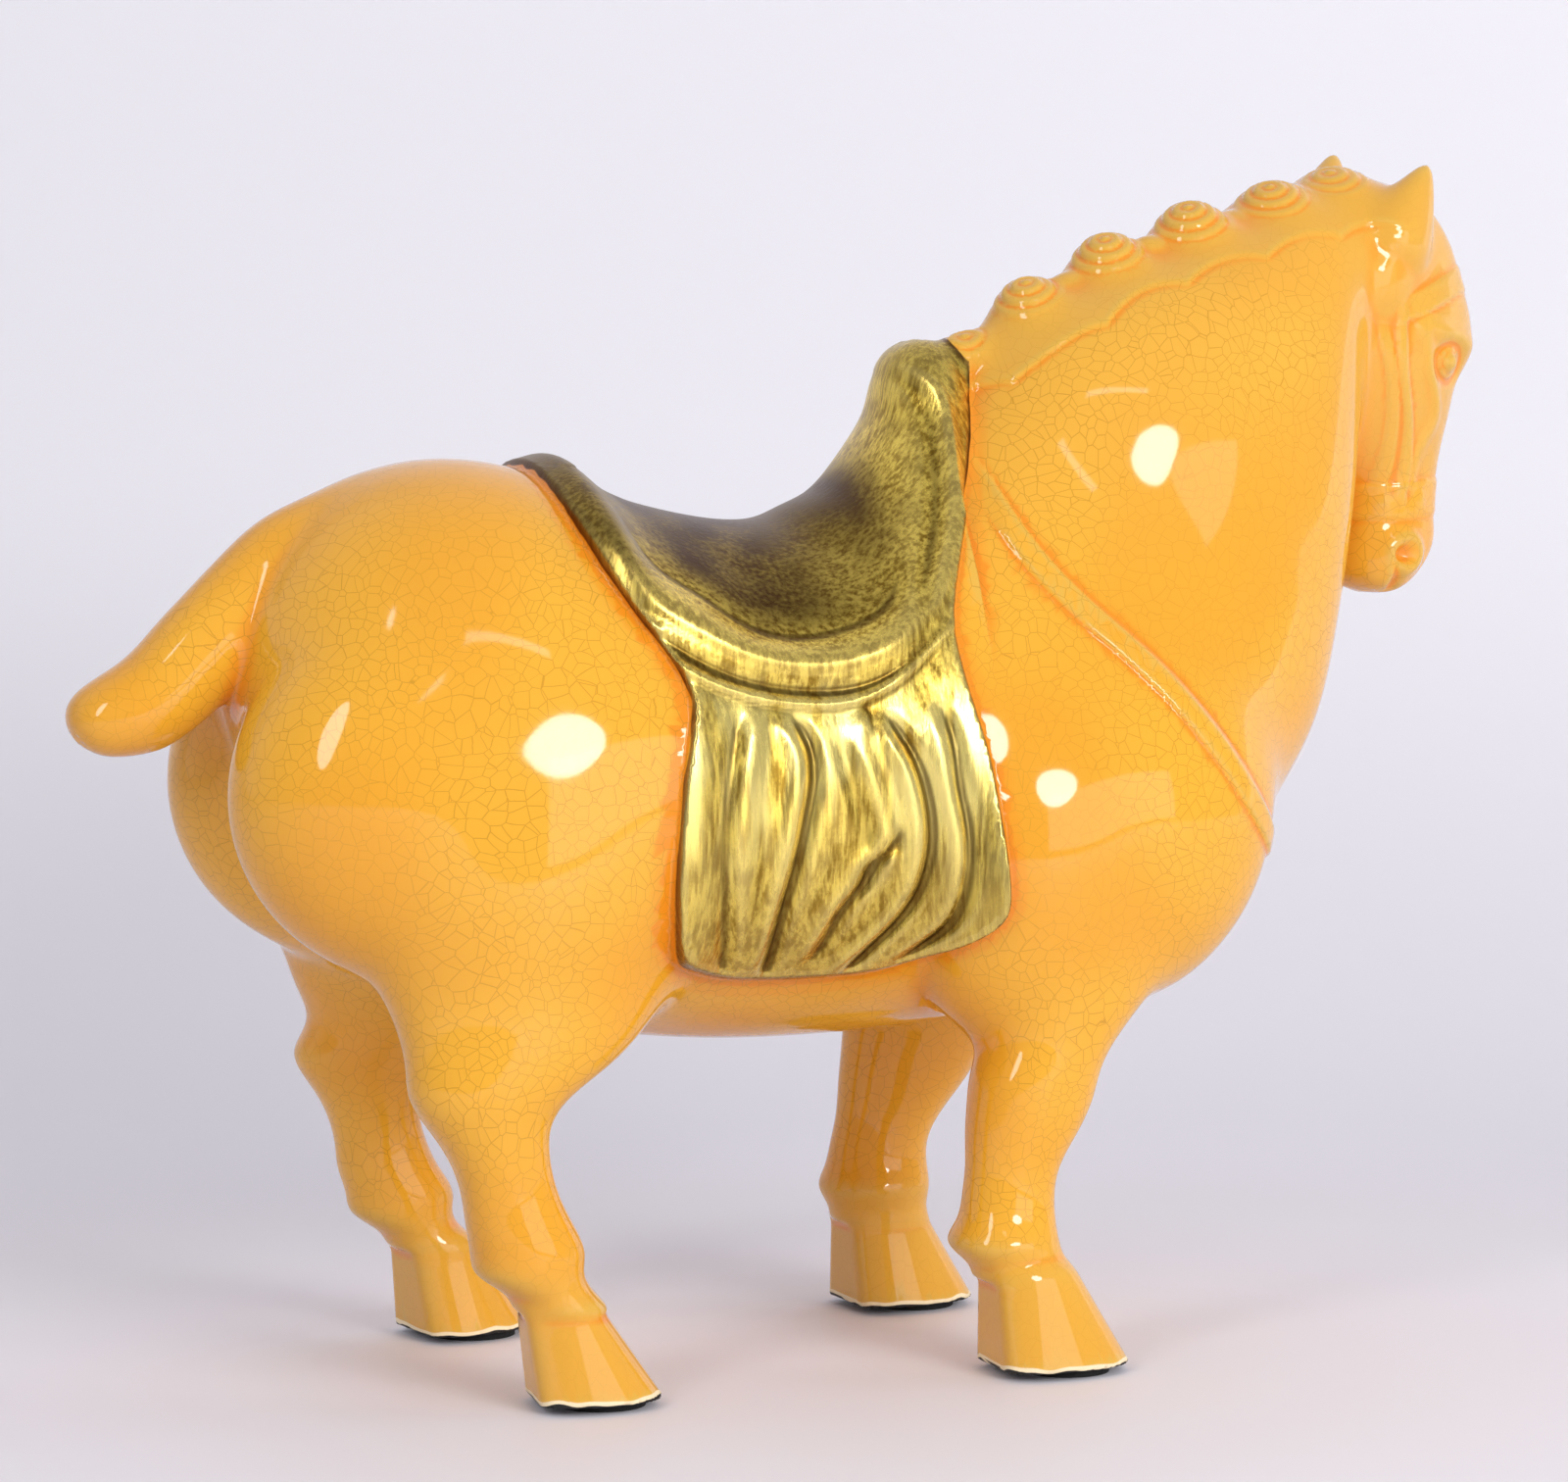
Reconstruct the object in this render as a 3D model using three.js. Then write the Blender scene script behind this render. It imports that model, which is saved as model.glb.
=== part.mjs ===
import * as THREE from 'three';

// Ceramic horse with a saddle, a hanging saddle cloth and a knotted mane, standing on four pads.
// Millimetres, +X towards the head, +Y to the horse's own left, +Z up, floor at z = 0.
// The casting is one closed surface: rounded masses are blended into each other, then the saddle,
// folds, straps and face are raised or sunk on it, and the surface is laid out as triangles.

const { abs, cos, exp, hypot, max, min, pow, sin, sqrt, PI } = Math;
const DEG = PI / 180;

// places the middle of the footprint box of the whole figure on the origin
const toMiddle = [-9.4, 0, 0];

// pads under the hooves
const padRadius = 11;
const padHeight = 1.7;
const soleZ = 2;
const forePadX = 56.5;
const hindPadX = -67.5;
const padY = 51;

// layout of the triangles
const gridStep = 1.75;
const triangleGoal = 9300;

// softness of raised edges on the casting
const edgeSoft = 1.5;

const clamp = (t, a, b) => (t < a ? a : t > b ? b : t);
const mix = (a, b, t) => a + (b - a) * t;
const bump = (t, w) => exp(-(t * t) / (w * w));

function ramp(a, b, t) {
  const s = clamp((t - a) / (b - a), 0, 1);
  return s * s * (3 - 2 * s);
}

// smooth union and smooth intersection, without a jump in curvature where the fillet begins
function join(a, b, k) {
  const h = 1 - abs(a - b) / (1.5 * k);
  return h <= 0 ? min(a, b) : min(a, b) - (h * h * h * k) / 4;
}

const meet = (a, b, k) => -join(-a, -b, k);

// natural cubic spline through named stations, kept as an even table
function spline(t, f) {
  const last = t.length - 1;
  const h = t.slice(1).map((v, i) => v - t[i]);
  const l = [1];
  const mu = [0];
  const r = [0];
  for (let i = 1; i < last; i++) {
    const a = 3 * ((f[i + 1] - f[i]) / h[i] - (f[i] - f[i - 1]) / h[i - 1]);
    l[i] = 2 * (t[i + 1] - t[i - 1]) - h[i - 1] * mu[i - 1];
    mu[i] = h[i] / l[i];
    r[i] = (a - h[i - 1] * r[i - 1]) / l[i];
  }
  const c = new Array(last + 1).fill(0);
  for (let i = last - 1; i > 0; i--) {
    c[i] = r[i] - mu[i] * c[i + 1];
  }
  const steps = 400;
  const table = new Float64Array(steps + 1);
  let j = 0;
  for (let i = 0; i <= steps; i++) {
    const u = t[0] + ((t[last] - t[0]) * i) / steps;
    while (j < last - 1 && u > t[j + 1]) {
      j++;
    }
    const s = u - t[j];
    const b = (f[j + 1] - f[j]) / h[j] - (h[j] * (c[j + 1] + 2 * c[j])) / 3;
    const d = (c[j + 1] - c[j]) / (3 * h[j]);
    table[i] = f[j] + s * (b + s * (c[j] + s * d));
  }
  const k = steps / (t[last] - t[0]);
  return (u) => {
    const s = clamp((u - t[0]) * k, 0, steps - 1e-9);
    const i = s | 0;
    return table[i] + (table[i + 1] - table[i]) * (s - i);
  };
}

// rows of [place, size, size, ...] become one spline for each size
function stations(rows) {
  const t = rows.map((row) => row[0]);
  return rows[0].slice(1).map((_, k) => spline(t, rows.map((row) => row[k + 1])));
}

// ellipsoid, tipped up by pitch degrees
function ellipsoid(x, y, z, c, r, pitch = 0) {
  const s = sin(pitch * DEG);
  const q = cos(pitch * DEG);
  const px = x - c[0];
  const pz = z - c[2];
  const a = (px * q + pz * s) / r[0];
  const b = (y - c[1]) / r[1];
  const e = (-px * s + pz * q) / r[2];
  const near = sqrt(a * a + b * b + e * e);
  const slope = hypot(a / r[0], b / r[1], e / r[2]) + 1e-9;
  return (near * (near - 1)) / slope;
}

// rounded section with half sizes a and b, squarer as the power p grows
function section(dx, dy, a, b, p) {
  const u = abs(dx) / a;
  const v = abs(dy) / b;
  const s = pow(u, p) + pow(v, p) + 1e-12;
  const rho = pow(s, 1 / p);
  if (rho < 0.35) {
    return -(1 - rho) * min(a, b);
  }
  const slope = pow(s, 1 / p - 1) * hypot(pow(u, p - 1) / a, pow(v, p - 1) / b) + 1e-9;
  return (rho - 1) / slope;
}

// barrel of the body: place along X, middle height, half height, half width
const torsoMiddle = -10;
const torsoReach = 126;
const torsoEnds = 2.6;
const torsoRound = 2.02;
const torsoRows = stations([
  [-136, 158, 74, 72],
  [-115, 158.6, 74.6, 73],
  [-90, 158.4, 73.9, 72.5],
  [-55, 153.4, 69.4, 67],
  [-17, 147.4, 65.4, 61.5],
  [20, 149.4, 67.4, 61],
  [60, 153, 71, 61.5],
  [96, 157.5, 73.5, 60],
  [108, 161, 77, 60],
  [116, 162, 78, 60],
]);

function torso(x, y, z) {
  const t = clamp(x, -136, 116);
  const hz = torsoRows[1](t);
  const hy = torsoRows[2](t);
  const u = abs(x - torsoMiddle) / torsoReach;
  const v = abs(y) / hy;
  const w = abs(z - torsoRows[0](t)) / hz;
  const p = torsoRound;
  const n = torsoEnds;
  const ring = pow(v, p) + pow(w, p) + 1e-12;
  const rho = pow(ring, 1 / p);
  const s = pow(u, n) + pow(rho, n) + 1e-12;
  const k = pow(s, 1 / n);
  if (k < 0.35) {
    return -(1 - k) * 55;
  }
  const gk = k / s;
  const gr = (gk * pow(rho, n - 1) * rho) / ring;
  const gx = (gk * pow(u, n - 1)) / torsoReach;
  return (k - 1) / (hypot(gx, (gr * pow(v, p - 1)) / hy, (gr * pow(w, p - 1)) / hz) + 1e-9);
}

// neck, built up along a slanted axis:
// place on the axis, middle across, half depth, sideways middle, half width
const neckFoot = [100, 200];
const neckUp = [0.469, 0.883];
const neckRows = stations([
  [-80, -4, 46, 0, 38],
  [-46, -5, 61, 0, 42],
  [-16, -6.5, 67, 0, 43],
  [10, -8.5, 63, 0, 41],
  [33, -10.5, 57, 0, 39.2],
  [57, -7.4, 44.9, 2, 34.6],
  [76, -2.5, 33, 5, 29.4],
  [94, 4.2, 22.3, 9, 24],
  [108, 11, 15.5, 12, 19],
  [122, 14.3, 8.7, 13, 14],
]);

function neck(x, y, z) {
  const px = x - neckFoot[0];
  const pz = z - neckFoot[1];
  const u = px * neckUp[0] + pz * neckUp[1];
  const v = px * neckUp[1] - pz * neckUp[0];
  const t = clamp(u, -80, 122);
  const d = section(v - neckRows[0](t), y - neckRows[2](t), neckRows[1](t), neckRows[3](t), 2.08);
  return meet(meet(d, u - 116, 14), -u - 80, 10);
}

// legs: height, middle along X, half length, distance from the middle line, half width
const foreRight = stations([
  [0, 47, 16, 49.5, 15],
  [20, 45, 15, 49, 14.5],
  [27, 44.5, 12.4, 48.5, 11.8],
  [33, 41, 13.9, 47.5, 13.4],
  [38, 41.5, 12.6, 47.3, 12],
  [45, 42.4, 11.6, 47, 10.8],
  [52, 43.6, 12, 46.8, 10.8],
  [60, 46, 14.2, 46.5, 12.2],
  [68, 48.5, 15.9, 46, 13.6],
  [76, 50.6, 16.3, 45.5, 14.6],
  [83, 54, 16.4, 45, 15],
  [92, 58, 19.4, 43, 17],
  [104, 61, 24.6, 40, 20],
  [124, 65, 33, 36, 24],
]);
const foreLeft = stations([
  [0, 47, 16, 50.9, 15],
  [20, 46.5, 15, 50.5, 14.5],
  [27, 46, 13.2, 50, 12],
  [33, 44.8, 14.8, 49.5, 13.4],
  [38, 45.2, 14, 49.3, 12],
  [45, 46, 13.2, 49, 10.8],
  [52, 48.4, 14.2, 48.8, 10.8],
  [60, 51.8, 17, 48.5, 12.2],
  [68, 54.6, 19.2, 48, 13.6],
  [76, 56.4, 20.4, 47.5, 14.6],
  [83, 58, 21, 47, 15],
  [92, 60.5, 22, 43, 17],
  [104, 62, 26, 40, 20],
  [124, 66, 34, 36, 24],
]);
const hindRight = stations([
  [0, -72, 16, 51, 15],
  [20, -76, 14.5, 51, 14],
  [28, -80.5, 11, 51, 12],
  [33, -85.3, 12.9, 51, 12.6],
  [38, -86.2, 13.9, 51, 12.8],
  [45, -88.1, 13.1, 51, 12],
  [52, -90.3, 11.9, 50.8, 11],
  [58, -92, 11.8, 50.5, 11.2],
  [64, -93.8, 12.9, 50, 12.2],
  [70, -95.4, 15.4, 49.5, 13.8],
  [76, -95, 19.4, 49, 15.6],
  [84, -90.2, 25.2, 48, 17.5],
  [94, -86, 30.5, 46, 20],
  [112, -84, 35, 43, 23],
]);
const hindLeft = stations([
  [0, -73, 16, 51, 15],
  [20, -77, 14.5, 51, 14],
  [28, -81.7, 11, 51, 12],
  [33, -86.5, 12.9, 51, 12.6],
  [38, -87.4, 13.9, 51, 12.8],
  [45, -90.3, 13.1, 51, 12],
  [52, -92.5, 11.9, 50.8, 11],
  [58, -94.2, 11.8, 50.5, 11.2],
  [64, -96, 12.9, 50, 12.2],
  [70, -97.6, 15.4, 49.5, 13.8],
  [76, -96.6, 18.8, 49, 15.6],
  [84, -91, 21.5, 48, 17.5],
  [94, -88.6, 27, 46, 20],
  [112, -86, 33.4, 43, 23],
]);

function leg(rows, x, y, z, top) {
  const t = clamp(z, 2, top);
  const d = section(x - rows[0](t), abs(y) - rows[2](t), rows[1](t), rows[3](t), 2.15);
  return meet(meet(d, z - top + 10, 20), 24 - z, 3);
}

// hooves: upright flat heel, half round flaring toe; low and high sizes
const hoofTop = 29;
const foreHoof = {
  x: 47,
  y: 50.4,
  out: 2,
  wide: [15.6, 11.6],
  toe: [25.8, 9.5],
  heel: [-10.4, -11.6],
  pinch: 3.6,
};
const hindHoof = {
  x: -73,
  y: 51,
  out: 8,
  wide: [15.4, 11.5],
  toe: [20.5, 2],
  heel: [-11.6, -15.2],
  pinch: 3.4,
};
const heelBar = 10;

function hoof(part, x, y, z) {
  const s = sin(part.out * DEG);
  const c = cos(part.out * DEG);
  const px = x - part.x;
  const py = abs(y) - part.y;
  const f = px * c + py * s;
  const g = py * c - px * s;
  const t = clamp((z - soleZ) / (hoofTop - soleZ), -0.3, 1.15);
  const wide = mix(part.wide[0], part.wide[1], t);
  const toe = mix(part.toe[0], part.toe[1], t);
  const heel = mix(part.heel[0], part.heel[1], t);
  const mid = heel + heelBar;
  const rim = f > mid
    ? section(f - mid, g, toe - mid, wide, 2.3)
    : abs(g) - wide + part.pinch * pow((mid - f) / heelBar, 2);
  return meet(meet(rim, heel - f, 3), z - hoofTop, 4);
}

// tail, built up along its slope: place, middle across, half depth, half width
const tailRoot = [-118, 206];
const tailFall = 40 * DEG;
const tailRows = stations([
  [-22, -3, 10, 10],
  [-4, 4.6, 11, 11.5],
  [8, 7, 12.2, 12.2],
  [20, 6.8, 12.6, 12.6],
  [34, 5.4, 12.8, 12.8],
  [46, 4.4, 12.6, 13],
  [56, 4, 12, 13],
  [66, 5.6, 11.6, 12.6],
  [74, 8, 10.2, 11.6],
  [80, 9, 9, 10.5],
]);

function tail(x, y, z) {
  const px = tailRoot[0] - x;
  const pz = tailRoot[1] - z;
  const t = px * cos(tailFall) + pz * sin(tailFall);
  const n = px * sin(tailFall) - pz * cos(tailFall);
  const u = clamp(t, -22, 80);
  const d = section(n - tailRows[0](u), y, tailRows[1](u), tailRows[2](u), 2.1);
  return meet(meet(d, t - 79.7, 12), -t - 20, 6);
}

// head, in its own directions: a out of the face, s to its left, t down the face
const headAt = [178, 15, 288];
const headTurn = 29 * DEG;
const headTuck = 14 * DEG;
const headRows = stations([
  [-14, 8, -12, 10],
  [-5, 15, -18, 14],
  [2, 22, -21, 15.8],
  [8, 26, -22.5, 17],
  [14, 31, -23, 18],
  [20, 34.2, -23, 18.8],
  [27, 35.4, -22, 18.8],
  [35, 31.5, -20.5, 18],
  [44, 31, -17.5, 16.4],
  [53, 31, -12.5, 14.4],
  [62, 31.8, -5.5, 12.6],
  [70, 33.2, 0.5, 11.8],
  [77, 34.6, 3, 12.2],
  [84, 31.8, 4, 12.2],
  [92, 26, 5, 11],
  [101, 20, 8, 9],
]);

function toHead(x, y, z) {
  const px = x - headAt[0];
  const py = y - headAt[1];
  const pz = z - headAt[2];
  const f = px * cos(headTurn) + py * sin(headTurn);
  const s = py * cos(headTurn) - px * sin(headTurn);
  return [f * cos(headTuck) - pz * sin(headTuck), s, -f * sin(headTuck) - pz * cos(headTuck)];
}

function head(a, s, t) {
  const u = clamp(t, -14, 101);
  const front = headRows[0](u);
  const back = headRows[1](u);
  const d = section(a - (front + back) / 2, s, (front - back) / 2, headRows[2](u), 2.25);
  return meet(meet(d, t - 95.5, 9), -t - 12, 14);
}

// straps of the bridle, the bone of the cheek and their places on the head
const browLine = spline([-14, -5, 1.5, 9, 15.3, 22, 30], [27, 21, 17, 12.5, 9.4, 7.8, 7.2]);
const cheekLine = spline([20, 28, 40, 52, 64, 72], [-12.5, -10, -5.3, 2.8, 7.4, 8.8]);
const boneLine = spline(
  [24, 31, 38, 44, 49.2, 55, 62, 69],
  [-5, 0.5, 5.6, 11.4, 13.4, 11.4, 10.2, 10.9],
);
const noseLine = (a) => 72.2 - 0.29 * (a - 7);

function faceRelief(a, s, t) {
  const w = abs(s);
  const side = ramp(4, 8, w);
  const e = edgeSoft;
  const brow = abs(t - browLine(clamp(a, -14, 30))) * 0.86;
  let h = 0.6 * ramp(3.4 + e / 2, 3.2 - e, brow) * ramp(-12, -7, a);
  h += 0.55 * ramp(4.9 + e / 2, 4.6 - e, abs(t - noseLine(a)) * 0.96);
  const cheek = abs(a - cheekLine(clamp(t, 20, 72)));
  h += side * 0.65 * ramp(2.8, 0.6, cheek) * ramp(20, 25, t) * ramp(74, 70, t);
  h += side * 0.8 * bump(a - boneLine(clamp(t, 24, 69)), 2.8) * ramp(25, 31, t) * ramp(70, 64, t);
  // brow over the eye, the eye in its socket
  h += side * 1.3 * bump(t - 26, 3.4) * ramp(-8, 0, a) * ramp(31, 20, a);
  const eye = hypot((a - 13.2) / 4.8, (t - 33) / 3.5);
  h += side * (1.3 * ramp(1, 0.2, eye) - 1.1 * bump(eye - 1.3, 0.5));
  // flared nostril and the line of the mouth
  const flare = hypot((a - 14.6) / 5.6, (t - 84.6) / 5.2);
  const hollow = hypot((a - 12.8) / 3.4, (t - 85.6) / 3.2);
  h += side * (1.4 * bump(flare - 0.85, 0.42) - 1.9 * bump(hollow, 0.8));
  h -= side * bump((a - 11.2 - 0.9 * (t - 88)) * 0.75, 1.3) * ramp(86, 90, t);
  return h;
}

// ears: foot and tip on the head, and the lobe that runs down the cheek
const earFoot = [-12.6, 12.2, 6];
const earTips = { right: [-5.9, 14.6, -16.6], left: [-5.5, 16, -20] };
const earSize = 10.2;

function ear(side, a, s, t) {
  const along = earTips[side].map((v, i) => v - earFoot[i]);
  const length = hypot(...along);
  const axis = along.map((v) => v / length);
  const p = [a - earFoot[0], s - earFoot[1], t - earFoot[2]];
  const q = p[0] * axis[0] + p[1] * axis[1] + p[2] * axis[2];
  const v = p.map((c, i) => c - q * axis[i]);
  const k = clamp(q / length, 0, 1);
  const size = earSize * pow(max(0, 1 - pow(k, 1.35)), 0.8) + 0.3;
  const cone = (hypot(v[0], v[1] * 1.18, v[2]) - size) * 0.8;
  const body = meet(meet(cone, q - length, 2.5), -q - 6, 5);
  const hollow = ellipsoid(v[0], v[1], q, [5.4, 0.8, 10], [3.6, 3.9, 10.5]);
  const lobe = ellipsoid(a, s, t, [-13.2, 13.4, 11], [8.2, 5.2, 15.5], 12);
  return join(meet(body, -hollow, 1.6), lobe, 2.5);
}

// the bare horse: every mass of it, blended
function bareHorse(x, y, z) {
  const w = abs(y);
  let d = 60;
  if (z > 48) {
    d = torso(x, y, z);
    if (x > -20 && z > 60) {
      d = join(d, neck(x, y, z), 26);
    }
    if (x < -15) {
      d = join(d, ellipsoid(x, y, z, [-95, 0, 178], [51, 53, 50.5]), 14);
      d = join(d, ellipsoid(x, w, z, [-85, 42.5, 121], [38, 25, 40]), 20);
      d = join(d, ellipsoid(x, w, z, [-102.5, 28.5, 149], [51, 35, 47]), 7);
    } else {
      d = join(d, ellipsoid(x, w, z, [74, 33, 136.5], [43, 33, 44]), 20);
      d = join(d, ellipsoid(x, w, z, [52, 38, 130], [38, 30, 50]), 4);
      d = join(d, ellipsoid(x, w, z, [79.5, 27, 116], [27, 19, 19], 36), 12);
      d = join(d, ellipsoid(x, y, z, [105, 3, 105], [17, 13, 11], 24), 9);
    }
  }
  if (z < 140 && x > -15) {
    const fore = leg(y < 0 ? foreRight : foreLeft, x, y, z, 122);
    d = join(d, join(fore, hoof(foreHoof, x, y, z), 2.2), 9);
  }
  if (z < 130 && x < -15) {
    const hind = leg(y < 0 ? hindRight : hindLeft, x, y, z, 114);
    d = join(d, join(hind, hoof(hindHoof, x, y, z), 2.2), 9);
  }
  if (x < -80 && z > 130) {
    d = join(d, tail(x, y, z), 4);
  }
  if (x > 125 && z > 175) {
    const [a, s, t] = toHead(x, y, z);
    let h = head(a, s, t);
    if (h < 12) {
      h -= faceRelief(a, s, t) * ramp(-26, -20, a);
    }
    d = join(d, h, 10);
    d = join(d, ear('right', a, -s, t), 4);
    d = join(d, ear('left', a, s, t), 4);
  }
  return meet(d, soleZ - z, 0.8);
}

// saddle and cloth: where their back, front and lower edges lie on the flank
const backEdge = spline(
  [96, 108, 119, 133, 147.5, 159, 168, 173, 182, 190, 198, 206, 214.4, 222, 230, 240],
  [
    -50.5, -51.6, -53, -53.2, -52, -50.2, -48.4, -48.2,
    -52.2, -57.4, -62.5, -66.4, -69.4, -71, -71.4, -71.6,
  ],
);
const frontEdge = spline(
  [96, 110, 121, 132, 141, 157, 173, 182, 190, 200, 210, 226, 240, 252, 262],
  [32.5, 34.3, 34.6, 33.9, 32.8, 30.6, 26.6, 24.9, 24.7, 27.6, 32, 38.8, 43, 46, 47],
);
const hemLine = spline(
  [-62, -51, -39, -22, -4.5, 5.4, 16, 25, 34, 42],
  [109, 107.6, 104, 102, 102.2, 103, 105.6, 109.4, 115.5, 121],
);
const upperRim = spline(
  [-64, -51.3, -35.7, -19.4, -5.1, 6.8, 17.2, 26],
  [195.5, 187.8, 179.9, 176.4, 176.4, 180.2, 187.6, 195.5],
);
const lowerRim = spline(
  [-62, -46.8, -31.7, -20, -5.7, 4.1, 15.7, 26],
  [188, 178.9, 173.2, 171.2, 171.3, 174.6, 182.8, 191.5],
);

// hanging folds: line of the groove, its two ends, depth, width, and the soft ridge beside it
const foldList = [
  {
    line: spline([100, 107.5, 125, 143.6, 160, 172], [-37.6, -38.2, -40, -40.4, -38, -35.4]),
    ends: [102, 171],
    deep: 0.9,
    wide: 2.4,
    side: 5,
    swell: 0.8,
  },
  {
    line: spline(
      [100, 106.4, 119.9, 131.9, 143.8, 153.3, 160.5, 166.9, 174],
      [-25.6, -24.7, -23, -20.3, -17.9, -16.3, -17.2, -20, -23],
    ),
    ends: [101, 169],
    deep: 1.5,
    wide: 2.4,
    side: -4.6,
    swell: 1.2,
  },
  {
    line: spline([112, 118.6, 127, 136.8, 148, 158.7, 168], [-4.4, -3.2, -2, -2.2, -5, -8.4, -10.5]),
    ends: [124, 164],
    deep: 0.7,
    wide: 2.6,
    side: 5,
    swell: 0.7,
  },
  {
    line: spline(
      [104, 111.9, 119.3, 126.3, 131.2, 135.9, 142],
      [-15, -10.8, -7.5, -2.4, 0.7, 4.5, 7],
    ),
    ends: [106, 140],
    deep: 0.9,
    wide: 2.4,
    side: -4.4,
    swell: 0.8,
  },
  {
    line: spline(
      [100, 108.9, 118.4, 128.2, 137.9, 147.6, 157.3, 164.7, 172],
      [-6, 1.6, 9.9, 14.3, 15.4, 14, 10.6, 6.2, 2],
    ),
    ends: [102, 168],
    deep: 1.5,
    wide: 2.4,
    side: -4.6,
    swell: 1.2,
  },
  {
    line: spline(
      [104, 113.2, 120.7, 130.5, 140.2, 149.9, 159.5, 169.2],
      [8, 19.5, 23.4, 25, 24.5, 22.5, 21.3, 19],
    ),
    ends: [106, 170],
    deep: 1.1,
    wide: 2.3,
    side: -4.2,
    swell: 0.9,
  },
];

// seat: middle of its dish, and the distance from there to the rim's inner edge, by angle
const dishMiddle = [-20, 228];
const dishEdge = spline(
  [-181, -177.6, -167.4, -148.4, -125.6, -103.2, -86.5, -66.7, -49.7, -32.9, -13.7, 1],
  [41, 40.9, 39, 39.9, 37.6, 39.9, 41.5, 42.9, 43.8, 41.1, 40, 39],
);
const dishDepth = 2.2;
const rollHeight = 3.2;
const cantleLip = 3.2;
const seatFront = 2.4;

// how far a place on the seat lies inside the rim's inner edge
function dish(x, z) {
  const fall = min(z - dishMiddle[1], -1e-9);
  const turn = Math.atan2(fall, x - dishMiddle[0]) / DEG;
  return dishEdge(clamp(turn, -181, 1)) - hypot(x - dishMiddle[0], fall);
}

function folds(x, z) {
  let h = 0.5 * bump(x + 47.5, 3);
  for (const fold of foldList) {
    const [low, high] = fold.ends;
    const off = x - fold.line(clamp(z, low, high));
    h -= fold.deep * bump(off, fold.wide) * ramp(low - 2, low + 6, z) * ramp(high + 2, high - 7, z);
    h += fold.swell * bump(off - fold.side, 3) * ramp(low - 4, low + 8, z) * ramp(high + 4, high - 8, z);
  }
  return h;
}

// thickness of saddle and cloth over the flank
function cover(x, z) {
  const zc = clamp(z, 96, 240);
  const sides = join(x - backEdge(zc), frontEdge(clamp(z, 96, 262)) - x, 5);
  const inside = join(sides, (z - hemLine(clamp(x, -62, 42))) * 0.97, 5);
  const mask = ramp(-0.4 - edgeSoft / 2, 0.6 + edgeSoft / 2, inside);
  if (mask <= 0) {
    return 0;
  }
  const xc = clamp(x, -62, 26);
  const s1 = upperRim(xc + 0.5) - upperRim(xc - 0.5);
  const s2 = lowerRim(xc + 0.5) - lowerRim(xc - 0.5);
  const e1 = (z - upperRim(xc)) / hypot(1, s1);
  const e2 = (z - lowerRim(xc)) / hypot(1, s2);
  const cloth = 2.6 + 2.6 * ramp(150, 104, z);
  const hang = folds(x, z) * ramp(0, 7, -e2) * (0.55 + 0.45 * ramp(0, 4, inside));
  // seat: a dish inside a full rolled rim
  const within = dish(x, z);
  const outside = max(join(inside, e1, 4), 0.01);
  const place = outside / (outside + max(-within, 0) + 0.01);
  const crown = ramp(205, 226, z);
  const roll = pow(sin(PI * clamp(place, 0, 1)), 1.15) || 0;
  const swell = rollHeight - (rollHeight - 0.6) * crown;
  let seat = 3.4 - 1.3 * crown + swell * roll * (1 - ramp(190, 212, z) * ramp(-8, 10, x));
  seat -= dishDepth * ramp(-2, 15, within) * (1 - 0.35 * crown);
  seat += seatFront * bump(x - 3, 9) * ramp(205, 220, z);
  seat += cantleLip * bump(inside - 9, 6) * ramp(196, 222, z) * ramp(-36, -52, x);
  let h = mix(cloth + hang, seat, ramp(-2.5, 1.5, e1));
  h *= 1 - 0.7 * ramp(232, 244, z) * ramp(10, 26, x);
  h += 1.3 * bump(e2, 1.9) + 0.9 * bump(e1, 1.9);
  return h * mask;
}

// pommel: height, middle along X, half length, half width
const pommelRows = stations([
  [176, 14, 9, 50],
  [190, 18, 12, 47],
  [200, 23.5, 14, 43],
  [210, 28, 15.6, 36.5],
  [220, 32.4, 15.8, 30.5],
  [230, 35.3, 14.1, 25],
  [240, 36.8, 11.7, 20],
  [250, 36.3, 10.7, 15.5],
  [261, 35.6, 8.4, 10.5],
]);

function pommel(x, y, z) {
  const t = clamp(z, 176, 261);
  const d = section(x - pommelRows[0](t), y, pommelRows[1](t), pommelRows[2](t), 2.3);
  return meet(meet(d, z - 259.6, 13), 182 - z, 14);
}

// mane: the line of the crest and a row of knots on it
const crestLine = spline(
  [40, 47, 59.6, 80, 101, 126, 150, 171, 186],
  [251, 256.5, 263.2, 275.8, 284.8, 292, 297.5, 298, 294],
);
const knots = [
  { at: [49.3, -3.5, 254], round: 6.5, tall: 6.9 },
  { at: [67, -3, 263.4], round: 9.9, tall: 12.4 },
  { at: [89.8, -1.5, 274.4], round: 10.7, tall: 12.8 },
  { at: [114.4, 0.5, 282.4], round: 11.1, tall: 13.2 },
  { at: [140, 5, 287.8], round: 11.3, tall: 13.3 },
  { at: [160.6, 11, 291.4], round: 11.1, tall: 13.3 },
];
// small tufts that fill the gaps between the lower knots
const tufts = [[76.5, -4.5, 271.5], [100.2, -3.5, 281.2], [126, 0.5, 287.6]];
const tuftSize = 4.6;
const knotTilt = 26 * DEG;
const knotLean = -18 * DEG;
const knotAxis = [sin(knotLean), -sin(knotTilt) * cos(knotLean), cos(knotTilt) * cos(knotLean)];

function knot(item, x, y, z) {
  const p = [x - item.at[0], y - item.at[1], z - item.at[2]];
  const far = hypot(...p);
  if (far > 30) {
    return far - item.tall;
  }
  const up = p[0] * knotAxis[0] + p[1] * knotAxis[1] + p[2] * knotAxis[2];
  const out = sqrt(max(0, far * far - up * up));
  const near = hypot(out / item.round, up / item.tall);
  const slope = hypot(out / item.round ** 2, up / item.tall ** 2) + 1e-9;
  return (near * (near - 1)) / slope;
}

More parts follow.
